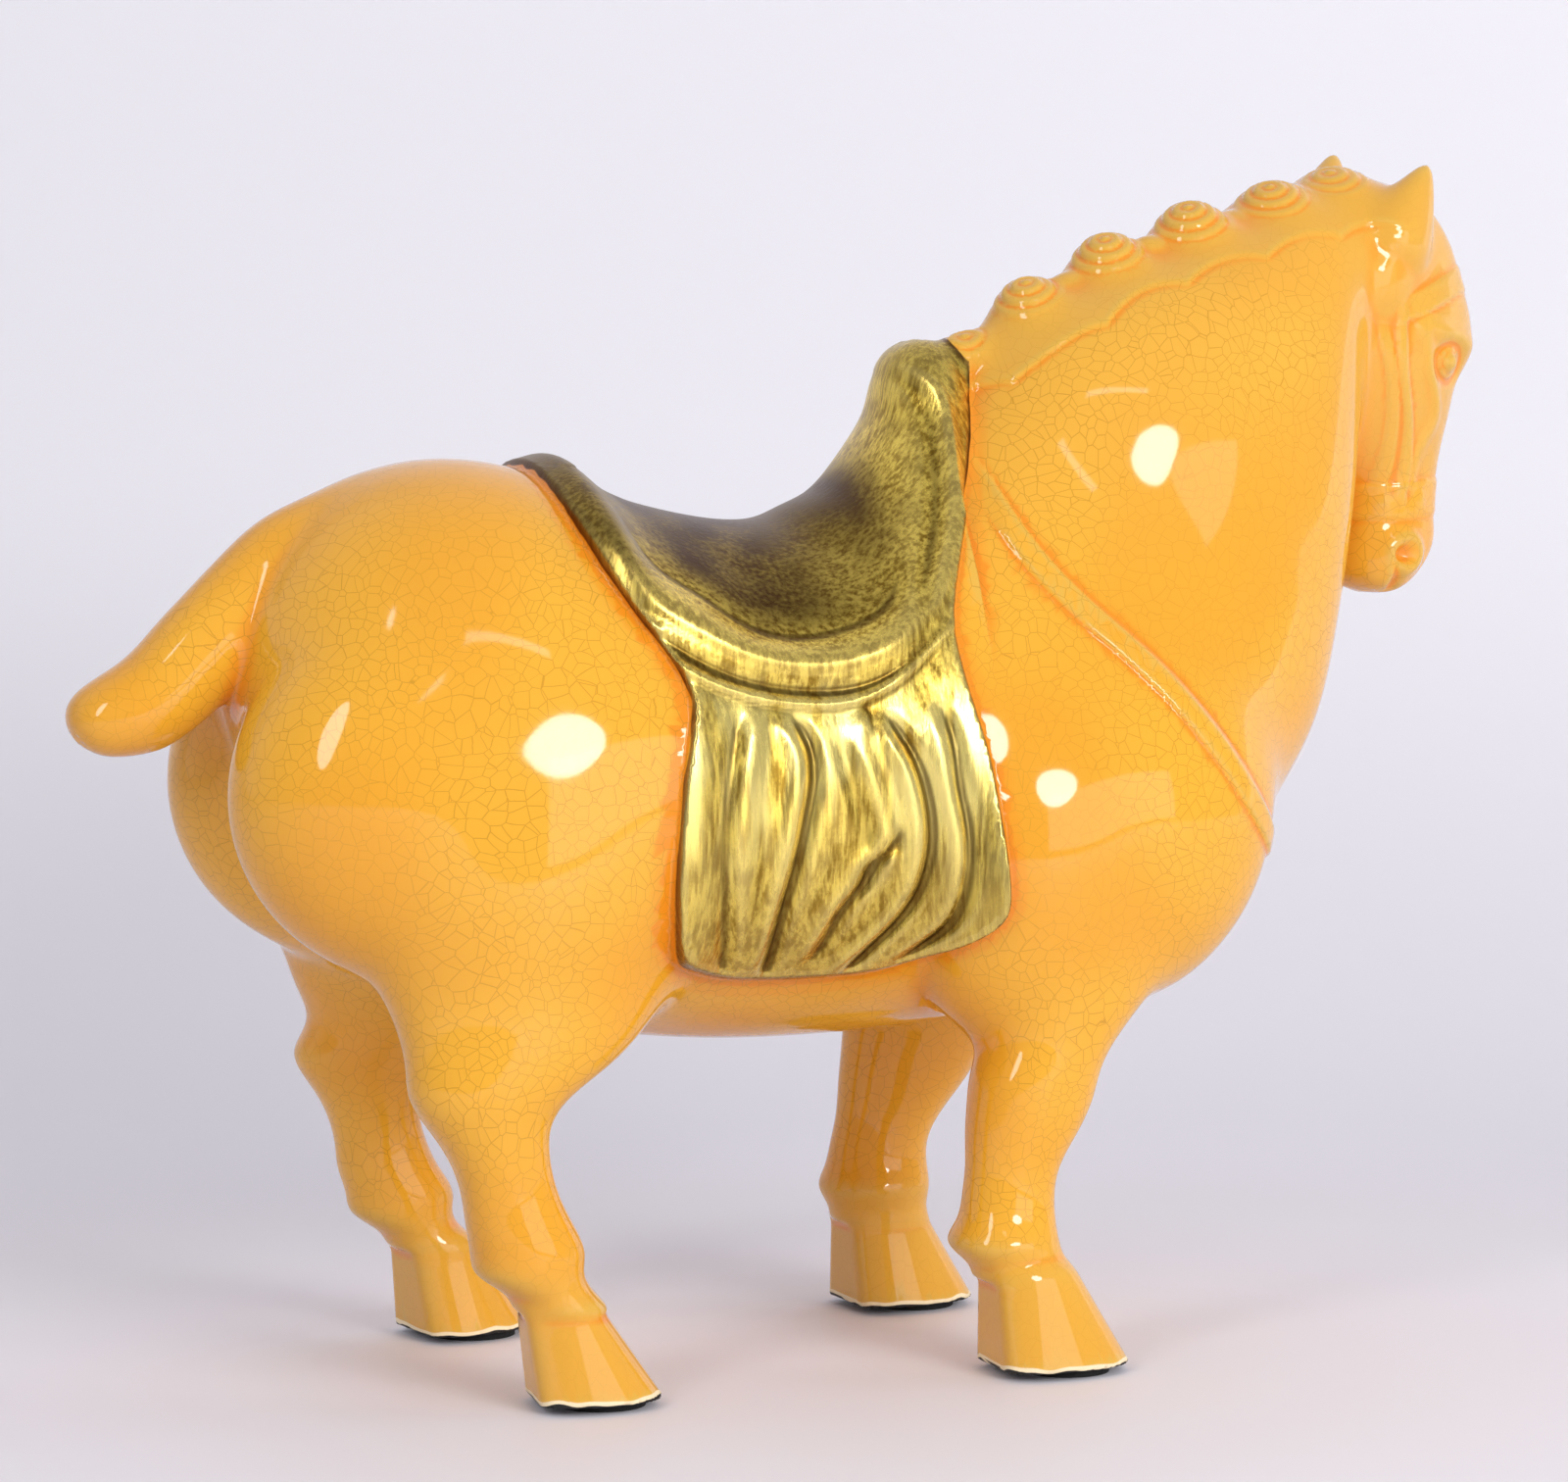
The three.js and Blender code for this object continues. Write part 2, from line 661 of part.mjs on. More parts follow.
// the band's lower edge hangs in scallops, one under each knot
const scallopFrom = 54.5;
const scallopPitch = 24.2;
const scallopHigh = 8.6;
const scallopLow = 11;

function maneBand(x, z) {
  const below = (crestLine(clamp(x, 40, 186)) - z) * 0.93;
  const turn = (x - scallopFrom) / scallopPitch;
  const away = abs(turn - Math.floor(turn) - 0.5) * 2;
  const edge = scallopHigh + (scallopLow - scallopHigh) * away * away - below;
  return 0.55 * ramp(-1, edgeSoft, edge) * ramp(40, 48, x) * ramp(174, 162, x);
}

// breast strap: height on the body as a function of the place along X
const strapLine = spline(
  [36, 42.4, 46.5, 54.9, 68.4, 81, 95.8, 109.3, 120, 130, 140],
  [236, 221, 211.6, 198.5, 185.1, 172.7, 154.9, 138.5, 129, 124, 122],
);
const strapHalf = 3.1;

function strap(x, z) {
  if (x < 40 || x > 142) {
    return 0;
  }
  const slope = strapLine(x + 0.5) - strapLine(x - 0.5);
  const off = abs(z - strapLine(x)) / hypot(1, slope);
  return 0.9 * ramp(strapHalf + edgeSoft, strapHalf - edgeSoft, off) * ramp(40, 46, x);
}

// the whole casting: negative inside, positive outside
function horse(x, y, z) {
  let d = bareHorse(x, y, z);
  if (d > 36) {
    return d;
  }
  if (x > -84 && x < 62 && z > 94) {
    d -= cover(x, z);
    if (z > 160) {
      const front = frontEdge(clamp(z, 96, 262));
      d = join(d, pommel(x, y, z), x < 34 ? 15 : 3 + 12 * ramp(front, 34, x));
    }
  }
  if (x > 29 && x < 186 && z > 233) {
    d -= maneBand(x, z);
    for (const item of knots) {
      d = join(d, knot(item, x, y, z), 8);
    }
    for (const at of tufts) {
      d = join(d, hypot(x - at[0], y - at[1], z - at[2]) - tuftSize, 2.5);
    }
  }
  return d - strap(x, z);
}

function slope(field, x, y, z) {
  const e = 0.25;
  return [
    (field(x + e, y, z) - field(x - e, y, z)) / (2 * e),
    (field(x, y + e, z) - field(x, y - e, z)) / (2 * e),
    (field(x, y, z + e) - field(x, y, z - e)) / (2 * e),
  ];
}

// cell patterns whose inside or outside corners fall into two groups
const tangled = Array.from({ length: 256 }, (_, code) => {
  const whole = (side) => {
    const own = [0, 1, 2, 3, 4, 5, 6, 7].filter((q) => ((code >> q) & 1) === side);
    if (own.length === 0) {
      return true;
    }
    const seen = new Set([own[0]]);
    for (const q of seen) {
      for (const r of [q ^ 1, q ^ 2, q ^ 4]) {
        if (own.includes(r)) {
          seen.add(r);
        }
      }
    }
    return seen.size === own.length;
  };
  return !whole(0) || !whole(1);
});

// closed skin of a field inside a box: one corner in every cell the surface passes through
function skin(field, low, high, step) {
  const block = 4;
  const n = low.map((v, i) => Math.ceil((high[i] - v) / step / block) * block);
  const sy = n[0] + 1;
  const sz = sy * (n[1] + 1);
  const value = new Float32Array(sz * (n[2] + 1)).fill(NaN);
  const at = (i, j, k) => field(low[0] + i * step, low[1] + j * step, low[2] + k * step);
  const rough = new Map();
  const coarse = (i, j, k) => {
    const key = i + 1000 * (j + 1000 * k);
    if (!rough.has(key)) {
      rough.set(key, at(i, j, k));
    }
    return rough.get(key);
  };
  const limit = block * step * 1.2 + 1;
  for (let k = 0; k < n[2]; k += block) {
    for (let j = 0; j < n[1]; j += block) {
      for (let i = 0; i < n[0]; i += block) {
        let least = Infinity;
        let most = -Infinity;
        for (let q = 0; q < 8; q++) {
          const f = coarse(i + (q & 1) * block, j + ((q >> 1) & 1) * block, k + (q >> 2) * block);
          least = min(least, f);
          most = max(most, f);
        }
        if (least > limit || most < -limit) {
          continue;
        }
        for (let c = k; c <= k + block; c++) {
          for (let b = j; b <= j + block; b++) {
            for (let a = i; a <= i + block; a++) {
              const id = a + sy * b + sz * c;
              if (Number.isNaN(value[id])) {
                value[id] = at(a, b, c);
              }
            }
          }
        }
      }
    }
  }
  const reach = [0, 1, sy, sy + 1, sz, sz + 1, sz + sy, sz + sy + 1];
  // where two sheets would touch in one cell, its nearest outside value is filled in
  for (let changed = true; changed; ) {
    changed = false;
    for (let o = 0; o + reach[7] < value.length; o++) {
      if (Number.isNaN(value[o])) {
        continue;
      }
      const v = reach.map((r) => value[o + r]);
      const code = v.reduce((sum, f, q) => (f < 0 ? sum | (1 << q) : sum), 0);
      if (v.some(Number.isNaN) || !tangled[code]) {
        continue;
      }
      const open = v.map((f) => (f < 0 ? Infinity : f));
      value[o + reach[open.indexOf(min(...open))]] = -0.002;
      changed = true;
    }
  }
  const corner = new Int32Array(value.length).fill(-1);
  const points = [];
  for (let k = 0; k < n[2]; k++) {
    for (let j = 0; j < n[1]; j++) {
      for (let i = 0; i < n[0]; i++) {
        const o = i + sy * j + sz * k;
        const v = reach.map((r) => value[o + r]);
        if (v.some(Number.isNaN)) {
          continue;
        }
        const inside = v.filter((f) => f < 0).length;
        if (inside === 0 || inside === 8) {
          continue;
        }
        const sum = [0, 0, 0];
        let count = 0;
        for (let axis = 0; axis < 3; axis++) {
          for (let q = 0; q < 8; q++) {
            const r = q | (1 << axis);
            if (r === q || v[q] < 0 === v[r] < 0) {
              continue;
            }
            const t = v[q] / (v[q] - v[r]);
            for (let m = 0; m < 3; m++) {
              sum[m] += m === axis ? t : (q >> m) & 1;
            }
            count++;
          }
        }
        corner[o] = points.length / 3;
        points.push(low[0] + (i + sum[0] / count) * step);
        points.push(low[1] + (j + sum[1] / count) * step);
        points.push(low[2] + (k + sum[2] / count) * step);
      }
    }
  }
  const faces = [];
  const quad = (a, b, c, d, turned) => {
    const ring = turned ? [a, c, b, a, d, c] : [a, b, c, a, c, d];
    faces.push(...ring.map((o) => corner[o]));
  };
  for (let k = 1; k < n[2]; k++) {
    for (let j = 1; j < n[1]; j++) {
      for (let i = 1; i < n[0]; i++) {
        const o = i + sy * j + sz * k;
        const f = value[o];
        if (Number.isNaN(f)) {
          continue;
        }
        const inside = f < 0;
        const crosses = (r) => !Number.isNaN(value[o + r]) && value[o + r] < 0 !== inside;
        if (crosses(1)) {
          quad(o - sy - sz, o - sz, o, o - sy, !inside);
        }
        if (crosses(sy)) {
          quad(o - 1 - sz, o - 1, o, o - sz, !inside);
        }
        if (crosses(sz)) {
          quad(o - 1 - sy, o - sy, o, o - 1, !inside);
        }
      }
    }
  }
  return { points: Float64Array.from(points), faces: Uint32Array.from(faces) };
}

// moves every corner onto the surface
function settle(field, points, rounds, most) {
  for (let r = 0; r < rounds; r++) {
    for (let i = 0; i < points.length; i += 3) {
      const f = field(points[i], points[i + 1], points[i + 2]);
      const g = slope(field, points[i], points[i + 1], points[i + 2]);
      const gg = g[0] * g[0] + g[1] * g[1] + g[2] * g[2] + 1e-9;
      const move = clamp(f / gg, -most / sqrt(gg), most / sqrt(gg));
      for (let m = 0; m < 3; m++) {
        points[i + m] -= g[m] * move;
      }
    }
  }
}

// least heap of numbered items
class Heap {
  constructor() {
    this.cost = [];
    this.item = [];
  }
  push(cost, item) {
    let i = this.cost.length;
    this.cost.push(cost);
    this.item.push(item);
    while (i > 0) {
      const up = (i - 1) >> 1;
      if (this.cost[up] <= cost) {
        break;
      }
      this.cost[i] = this.cost[up];
      this.item[i] = this.item[up];
      i = up;
    }
    this.cost[i] = cost;
    this.item[i] = item;
  }
  pop() {
    const top = this.item[0];
    const cost = this.cost.pop();
    const item = this.item.pop();
    const size = this.cost.length;
    if (size > 0) {
      let i = 0;
      for (;;) {
        let next = 2 * i + 1;
        if (next >= size) {
          break;
        }
        if (next + 1 < size && this.cost[next + 1] < this.cost[next]) {
          next++;
        }
        if (this.cost[next] >= cost) {
          break;
        }
        this.cost[i] = this.cost[next];
        this.item[i] = this.item[next];
        i = next;
      }
      this.cost[i] = cost;
      this.item[i] = item;
    }
    return top;
  }
}

// merges edges that carry the least shape until the goal is met; the skin stays closed
function thin(points, faces, goal) {
  const total = points.length / 3;
  const quadric = new Float64Array(total * 10);
  const around = Array.from({ length: total }, () => []);
  const alive = new Uint8Array(faces.length / 3).fill(1);
  const stamp = new Uint32Array(total);
  const tri = (f) => [faces[3 * f], faces[3 * f + 1], faces[3 * f + 2]];
  const at = (v) => [points[3 * v], points[3 * v + 1], points[3 * v + 2]];
  const minus = (a, b) => [a[0] - b[0], a[1] - b[1], a[2] - b[2]];
  const cross = (a, b) => [a[1] * b[2] - a[2] * b[1], a[2] * b[0] - a[0] * b[2], a[0] * b[1] - a[1] * b[0]];
  const dot = (a, b) => a[0] * b[0] + a[1] * b[1] + a[2] * b[2];
  const add = (v, n, d, w) => {
    const q = 10 * v;
    quadric[q] += w * n[0] * n[0];
    quadric[q + 1] += w * n[0] * n[1];
    quadric[q + 2] += w * n[0] * n[2];
    quadric[q + 3] += w * n[1] * n[1];
    quadric[q + 4] += w * n[1] * n[2];
    quadric[q + 5] += w * n[2] * n[2];
    quadric[q + 6] += w * n[0] * d;
    quadric[q + 7] += w * n[1] * d;
    quadric[q + 8] += w * n[2] * d;
    quadric[q + 9] += w * d * d;
  };
  for (let f = 0; f < alive.length; f++) {
    const v = tri(f);
    const p = v.map(at);
    const c = cross(minus(p[1], p[0]), minus(p[2], p[0]));
    const area = hypot(...c) + 1e-12;
    const n = c.map((m) => m / area);
    for (const one of v) {
      add(one, n, -dot(n, p[0]), area);
      around[one].push(f);
    }
  }
  // a light pull to the old corners keeps the triangles even where the surface is flat
  for (let v = 0; v < total; v++) {
    const p = at(v);
    for (let m = 0; m < 3; m++) {
      const n = [0, 0, 0];
      n[m] = 1;
      add(v, n, -p[m], 0.0006);
    }
  }
  const error = (q, p) =>
    q[0] * p[0] * p[0] + q[3] * p[1] * p[1] + q[5] * p[2] * p[2] + q[9] +
    2 * (q[1] * p[0] * p[1] + q[2] * p[0] * p[2] + q[4] * p[1] * p[2]) +
    2 * (q[6] * p[0] + q[7] * p[1] + q[8] * p[2]);
  const best = (a, b) => {
    const q = new Float64Array(10);
    for (let m = 0; m < 10; m++) {
      q[m] = quadric[10 * a + m] + quadric[10 * b + m];
    }
    const pa = at(a);
    const pb = at(b);
    const middle = pa.map((c, m) => (c + pb[m]) / 2);
    const row = [[q[0], q[1], q[2]], [q[1], q[3], q[4]], [q[2], q[4], q[5]]];
    const side = [-q[6], -q[7], -q[8]];
    const c12 = cross(row[1], row[2]);
    const det = dot(row[0], c12);
    let choice = middle;
    if (abs(det) > 1e-9) {
      const c20 = cross(row[2], row[0]);
      const c01 = cross(row[0], row[1]);
      const spot = [0, 1, 2].map((m) => (side[0] * c12[m] + side[1] * c20[m] + side[2] * c01[m]) / det);
      if (hypot(...minus(spot, middle)) < 1.5 * hypot(...minus(pa, pb)) + 0.01) {
        choice = spot;
      }
    }
    return [max(0, error(q, choice)), choice];
  };
  const heap = new Heap();
  const offer = (a, b) => {
    const [cost, spot] = best(a, b);
    heap.push(cost, [a, b, stamp[a], stamp[b], spot]);
  };
  const near = (v) => {
    const set = new Set();
    for (const f of around[v]) {
      for (const w of tri(f)) {
        if (w !== v) {
          set.add(w);
        }
      }
    }
    return set;
  };
  for (let f = 0; f < alive.length; f++) {
    const v = tri(f);
    for (let m = 0; m < 3; m++) {
      if (v[m] < v[(m + 1) % 3]) {
        offer(v[m], v[(m + 1) % 3]);
      }
    }
  }
  const folds = (v, other, spot) => {
    for (const f of around[v]) {
      const t = tri(f);
      if (t.includes(other)) {
        continue;
      }
      const p = t.map(at);
      const old = cross(minus(p[1], p[0]), minus(p[2], p[0]));
      const q = t.map((w, m) => (w === v ? spot : p[m]));
      const now = cross(minus(q[1], q[0]), minus(q[2], q[0]));
      const size = hypot(...now);
      if (dot(old, now) < 0.35 * hypot(...old) * size || size < 1e-3) {
        return true;
      }
      const edge = max(...q.map((c, m) => hypot(...minus(c, q[(m + 1) % 3]))));
      if (size < 0.06 * edge * edge) {
        return true;
      }
    }
    return false;
  };
  let left = alive.length;
  while (left > goal && heap.cost.length > 0) {
    const [a, b, sa, sb, spot] = heap.pop();
    if (stamp[a] !== sa || stamp[b] !== sb) {
      continue;
    }
    const na = near(a);
    const nb = near(b);
    let shared = 0;
    for (const v of na) {
      if (nb.has(v)) {
        shared++;
      }
    }
    if (shared !== 2 || folds(a, b, spot) || folds(b, a, spot)) {
      continue;
    }
    for (let m = 0; m < 10; m++) {
      quadric[10 * a + m] += quadric[10 * b + m];
    }
    for (let m = 0; m < 3; m++) {
      points[3 * a + m] = spot[m];
    }
    for (const f of around[b]) {
      const t = tri(f);
      if (t.includes(a)) {
        alive[f] = 0;
        left--;
        continue;
      }
      faces[3 * f + t.indexOf(b)] = a;
      around[a].push(f);
    }
    around[b] = [];
    stamp[a]++;
    stamp[b]++;
    for (const v of new Set([...na, ...nb])) {
      around[v] = around[v].filter((f) => alive[f]);
    }
    around[a] = around[a].filter((f) => alive[f]);
    for (const v of near(a)) {
      offer(a, v);
    }
  }
  const index = new Map();
  const outPoints = [];
  const outFaces = [];
  for (let f = 0; f < alive.length; f++) {
    if (!alive[f]) {
      continue;
    }
    for (const v of tri(f)) {
      if (!index.has(v)) {
        index.set(v, index.size);
        outPoints.push(...at(v));
      }
      outFaces.push(index.get(v));
    }
  }
  return { points: outPoints, faces: outFaces };
}

function horseGeometry() {
  const raw = skin(horse, [-196, -78, -3], [216, 78, 318], gridStep);
  settle(horse, raw.points, 2, 0.6);
  const small = thin(raw.points, raw.faces, triangleGoal);
  const geometry = new THREE.BufferGeometry();
  geometry.setAttribute('position', new THREE.Float32BufferAttribute(small.points, 3));
  geometry.setIndex(small.faces);
  geometry.translate(...toMiddle);
  geometry.computeVertexNormals();
  return geometry;
}

function pad(name, x, y, material) {
  const geometry = new THREE.CylinderGeometry(padRadius, padRadius, padHeight, 32);
  geometry.rotateX(PI / 2);
  geometry.translate(x + toMiddle[0], y, padHeight / 2);
  const mesh = new THREE.Mesh(geometry, material);
  mesh.name = name;
  return mesh;
}

const glaze = new THREE.MeshStandardMaterial({ color: 0xf0a02c, roughness: 0.15, metalness: 0 });
glaze.name = 'glaze';
const rubber = new THREE.MeshStandardMaterial({ color: 0x141414, roughness: 0.8, metalness: 0 });
rubber.name = 'pad_rubber';

const group = new THREE.Group();
group.name = 'ceramic_horse';
const body = new THREE.Mesh(horseGeometry(), glaze);
body.name = 'horse';
group.add(body);
group.add(pad('pad_fore_right', forePadX, -padY, rubber));
group.add(pad('pad_fore_left', forePadX, padY, rubber));
group.add(pad('pad_hind_right', hindPadX, -padY, rubber));
group.add(pad('pad_hind_left', hindPadX, padY, rubber));

export default group;
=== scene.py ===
"""Looks of a glazed ceramic horse with a gilded saddle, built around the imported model.

The horse is one closed surface, described as a field of distances in millimetres: rounded masses
blended into each other, with the saddle, cloth folds, straps, mane knots and face raised or sunk on
it. The surface is laid out as triangles, moved to metres, and given procedural materials.
"""

import math
from concurrent.futures import ThreadPoolExecutor

import bpy
import numpy as np
from mathutils import Matrix, Vector


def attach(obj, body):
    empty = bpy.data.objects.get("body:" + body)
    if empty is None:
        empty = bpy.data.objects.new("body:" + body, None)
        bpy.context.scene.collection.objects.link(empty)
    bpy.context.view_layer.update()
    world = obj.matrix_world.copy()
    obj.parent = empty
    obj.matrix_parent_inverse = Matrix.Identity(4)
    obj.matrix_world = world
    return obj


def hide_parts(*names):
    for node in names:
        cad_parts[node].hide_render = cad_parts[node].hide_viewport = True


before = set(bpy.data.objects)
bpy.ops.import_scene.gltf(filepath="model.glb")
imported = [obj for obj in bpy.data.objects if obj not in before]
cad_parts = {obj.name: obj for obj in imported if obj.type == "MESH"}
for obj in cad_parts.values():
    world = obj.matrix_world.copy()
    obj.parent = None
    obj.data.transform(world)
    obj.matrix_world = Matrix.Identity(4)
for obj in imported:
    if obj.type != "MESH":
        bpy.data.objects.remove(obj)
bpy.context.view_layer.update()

MM = 0.001
# the sculpted shape is laid out about the saddle, and the frame about the middle of the footprint
TO_MIDDLE = np.array([-9.4, 0.0, 0.0])
SOLE_Z = 2.0

# the photograph's viewpoint, in millimetres about the frame's origin
VIEW_TURN = math.radians(21)
VIEW_DROP = math.radians(4.25)
VIEW_DISTANCE = 1410.0
VIEW_HEIGHT = 157.0
LENS = 126.9

# layout of the triangles
GRID_STEP = 1.0
TRIANGLE_GOAL = 190000
EDGE_SOFT = 0.9


def make_camera():
    data = bpy.data.cameras.new("camera")
    data.sensor_width = 36
    data.lens = LENS
    camera = bpy.data.objects.new("camera", data)
    bpy.context.scene.collection.objects.link(camera)
    ahead = Vector((math.sin(VIEW_TURN) * math.cos(VIEW_DROP),
                    math.cos(VIEW_TURN) * math.cos(VIEW_DROP),
                    -math.sin(VIEW_DROP)))
    target = Vector((TO_MIDDLE[0], TO_MIDDLE[1], VIEW_HEIGHT))
    camera.location = (target - ahead * VIEW_DISTANCE) * MM
    camera.rotation_euler = ahead.to_track_quat("-Z", "Y").to_euler()
    bpy.context.scene.camera = camera


# helpers of the field: x, y and z are arrays of the same length, in millimetres

def ramp(a, b, t):
    s = np.clip((t - a) / (b - a), 0, 1)
    return s * s * (3 - 2 * s)


def bump(t, w):
    return np.exp(-(t * t) / (w * w))


def join(a, b, k):
    """The nearer of two bodies, with a fillet that has no jump in its curvature."""
    h = np.maximum(1 - np.abs(a - b) / (1.5 * k), 0)
    return np.minimum(a, b) - h * h * h * k / 4


def meet(a, b, k):
    return -join(-a, -b, k)


def spline(t, f):
    """Natural cubic spline through the stations, kept as an even table."""
    t = np.asarray(t, float)
    f = np.asarray(f, float)
    n = len(t)
    h = np.diff(t)
    rows = np.eye(n)
    side = np.zeros(n)
    for i in range(1, n - 1):
        rows[i, i - 1:i + 2] = h[i - 1], 2 * (h[i - 1] + h[i]), h[i]
        side[i] = 3 * ((f[i + 1] - f[i]) / h[i] - (f[i] - f[i - 1]) / h[i - 1])
    c = np.linalg.solve(rows, side)
    u = np.linspace(t[0], t[-1], 401)
    j = np.clip(np.searchsorted(t, u, side="right") - 1, 0, n - 2)
    s = u - t[j]
    b = (f[j + 1] - f[j]) / h[j] - h[j] * (c[j + 1] + 2 * c[j]) / 3
    d = (c[j + 1] - c[j]) / (3 * h[j])
    table = f[j] + s * (b + s * (c[j] + s * d))
    return lambda v: np.interp(v, u, table)


def stations(rows):
    t = [row[0] for row in rows]
    return [spline(t, [row[k] for row in rows]) for k in range(1, len(rows[0]))]


def ellipsoid(x, y, z, c, r, pitch=0):
    s, q = math.sin(math.radians(pitch)), math.cos(math.radians(pitch))
    px, pz = x - c[0], z - c[2]
    a = (px * q + pz * s) / r[0]
    b = (y - c[1]) / r[1]
    e = (-px * s + pz * q) / r[2]
    near = np.sqrt(a * a + b * b + e * e)
    slope = np.sqrt((a / r[0]) ** 2 + (b / r[1]) ** 2 + (e / r[2]) ** 2) + 1e-9
    return near * (near - 1) / slope


def section(dx, dy, a, b, p):
    u, v = np.abs(dx) / a, np.abs(dy) / b
    up, vp = np.power(u, p - 1), np.power(v, p - 1)
    s = up * u + vp * v + 1e-12
    rho = np.power(s, 1 / p)
    slope = rho / s * np.sqrt((up / a) ** 2 + (vp / b) ** 2) + 1e-9
    return np.where(rho < 0.35, -(1 - rho) * np.minimum(a, b), (rho - 1) / slope)


# barrel of the body: place along X, middle height, half height, half width
TORSO_MIDDLE = -10
TORSO_REACH = 126
TORSO_ENDS = 2.6
TORSO_ROUND = 2.02
TORSO = stations([
    [-136, 158, 74, 72], [-115, 158.6, 74.6, 73], [-90, 158.4, 73.9, 72.5], [-55, 153.4, 69.4, 67],
    [-17, 147.4, 65.4, 61.5], [20, 149.4, 67.4, 61], [60, 153, 71, 61.5], [96, 157.5, 73.5, 60],
    [108, 161, 77, 60], [116, 162, 78, 60],
])


def torso(x, y, z):
    hz, hy = TORSO[1](x), TORSO[2](x)
    u = np.abs(x - TORSO_MIDDLE) / TORSO_REACH
    v, w = np.abs(y) / hy, np.abs(z - TORSO[0](x)) / hz
    p, n = TORSO_ROUND, TORSO_ENDS
    vp, wp = np.power(v, p - 1), np.power(w, p - 1)
    ring = vp * v + wp * w + 1e-12
    rho = np.power(ring, 1 / p)
    un, rn = np.power(u, n - 1), np.power(rho, n - 1)
    s = un * u + rn * rho + 1e-12
    k = np.power(s, 1 / n)
    gr = k / s * rn * rho / ring
    slope = np.sqrt((k / s * un / TORSO_REACH) ** 2 + (gr * vp / hy) ** 2 + (gr * wp / hz) ** 2) + 1e-9
    return np.where(k < 0.35, -(1 - k) * 55, (k - 1) / slope)


# neck, built up along a slanted axis:
# place on the axis, middle across, half depth, sideways middle, half width
NECK_FOOT = (100, 200)
NECK_UP = (0.469, 0.883)
NECK = stations([
    [-80, -4, 46, 0, 38], [-46, -5, 61, 0, 42], [-16, -6.5, 67, 0, 43], [10, -8.5, 63, 0, 41],
    [33, -10.5, 57, 0, 39.2], [57, -7.4, 44.9, 2, 34.6], [76, -2.5, 33, 5, 29.4], [94, 4.2, 22.3, 9, 24],
    [108, 11, 15.5, 12, 19], [122, 14.3, 8.7, 13, 14],
])


def neck(x, y, z):
    px, pz = x - NECK_FOOT[0], z - NECK_FOOT[1]
    u = px * NECK_UP[0] + pz * NECK_UP[1]
    v = px * NECK_UP[1] - pz * NECK_UP[0]
    t = np.clip(u, -80, 122)
    d = section(v - NECK[0](t), y - NECK[2](t), NECK[1](t), NECK[3](t), 2.08)
    return meet(meet(d, u - 116, 14), -u - 80, 10)


# legs: height, middle along X, half length, distance from the middle line, half width
LEG_TOPS = {"fore": 122, "hind": 114}
LEGS = {
    "fore_right": stations([
        [0, 47, 16, 49.5, 15], [20, 45, 15, 49, 14.5], [27, 44.5, 12.4, 48.5, 11.8],
        [33, 41, 13.9, 47.5, 13.4], [38, 41.5, 12.6, 47.3, 12], [45, 42.4, 11.6, 47, 10.8],
        [52, 43.6, 12, 46.8, 10.8], [60, 46, 14.2, 46.5, 12.2], [68, 48.5, 15.9, 46, 13.6],
        [76, 50.6, 16.3, 45.5, 14.6], [83, 54, 16.4, 45, 15], [92, 58, 19.4, 43, 17],
        [104, 61, 24.6, 40, 20], [124, 65, 33, 36, 24],
    ]),
    "fore_left": stations([
        [0, 47, 16, 50.9, 15], [20, 46.5, 15, 50.5, 14.5], [27, 46, 13.2, 50, 12],
        [33, 44.8, 14.8, 49.5, 13.4], [38, 45.2, 14, 49.3, 12], [45, 46, 13.2, 49, 10.8],
        [52, 48.4, 14.2, 48.8, 10.8], [60, 51.8, 17, 48.5, 12.2], [68, 54.6, 19.2, 48, 13.6],
        [76, 56.4, 20.4, 47.5, 14.6], [83, 58, 21, 47, 15], [92, 60.5, 22, 43, 17],
        [104, 62, 26, 40, 20], [124, 66, 34, 36, 24],
    ]),
    "hind_right": stations([
        [0, -72, 16, 51, 15], [20, -76, 14.5, 51, 14], [28, -80.5, 11, 51, 12],
        [33, -85.3, 12.9, 51, 12.6], [38, -86.2, 13.9, 51, 12.8], [45, -88.1, 13.1, 51, 12],
        [52, -90.3, 11.9, 50.8, 11], [58, -92, 11.8, 50.5, 11.2], [64, -93.8, 12.9, 50, 12.2],
        [70, -95.4, 15.4, 49.5, 13.8], [76, -95, 19.4, 49, 15.6], [84, -90.2, 25.2, 48, 17.5],
        [94, -86, 30.5, 46, 20], [112, -84, 35, 43, 23],
    ]),
    "hind_left": stations([
        [0, -73, 16, 51, 15], [20, -77, 14.5, 51, 14], [28, -81.7, 11, 51, 12],
        [33, -86.5, 12.9, 51, 12.6], [38, -87.4, 13.9, 51, 12.8], [45, -90.3, 13.1, 51, 12],
        [52, -92.5, 11.9, 50.8, 11], [58, -94.2, 11.8, 50.5, 11.2], [64, -96, 12.9, 50, 12.2],
        [70, -97.6, 15.4, 49.5, 13.8], [76, -96.6, 18.8, 49, 15.6], [84, -91, 21.5, 48, 17.5],
        [94, -88.6, 27, 46, 20], [112, -86, 33.4, 43, 23],
    ]),
}

# hooves: upright flat heel, half round flaring toe; low and high sizes
HOOF_TOP = 29
HOOVES = {
    "fore": dict(x=47, y=50.4, out=2, wide=(15.6, 11.6), toe=(25.8, 9.5), heel=(-10.4, -11.6), pinch=3.6),
    "hind": dict(x=-73, y=51, out=8, wide=(15.4, 11.5), toe=(20.5, 2), heel=(-11.6, -15.2), pinch=3.4),
}
HEEL_BAR = 10


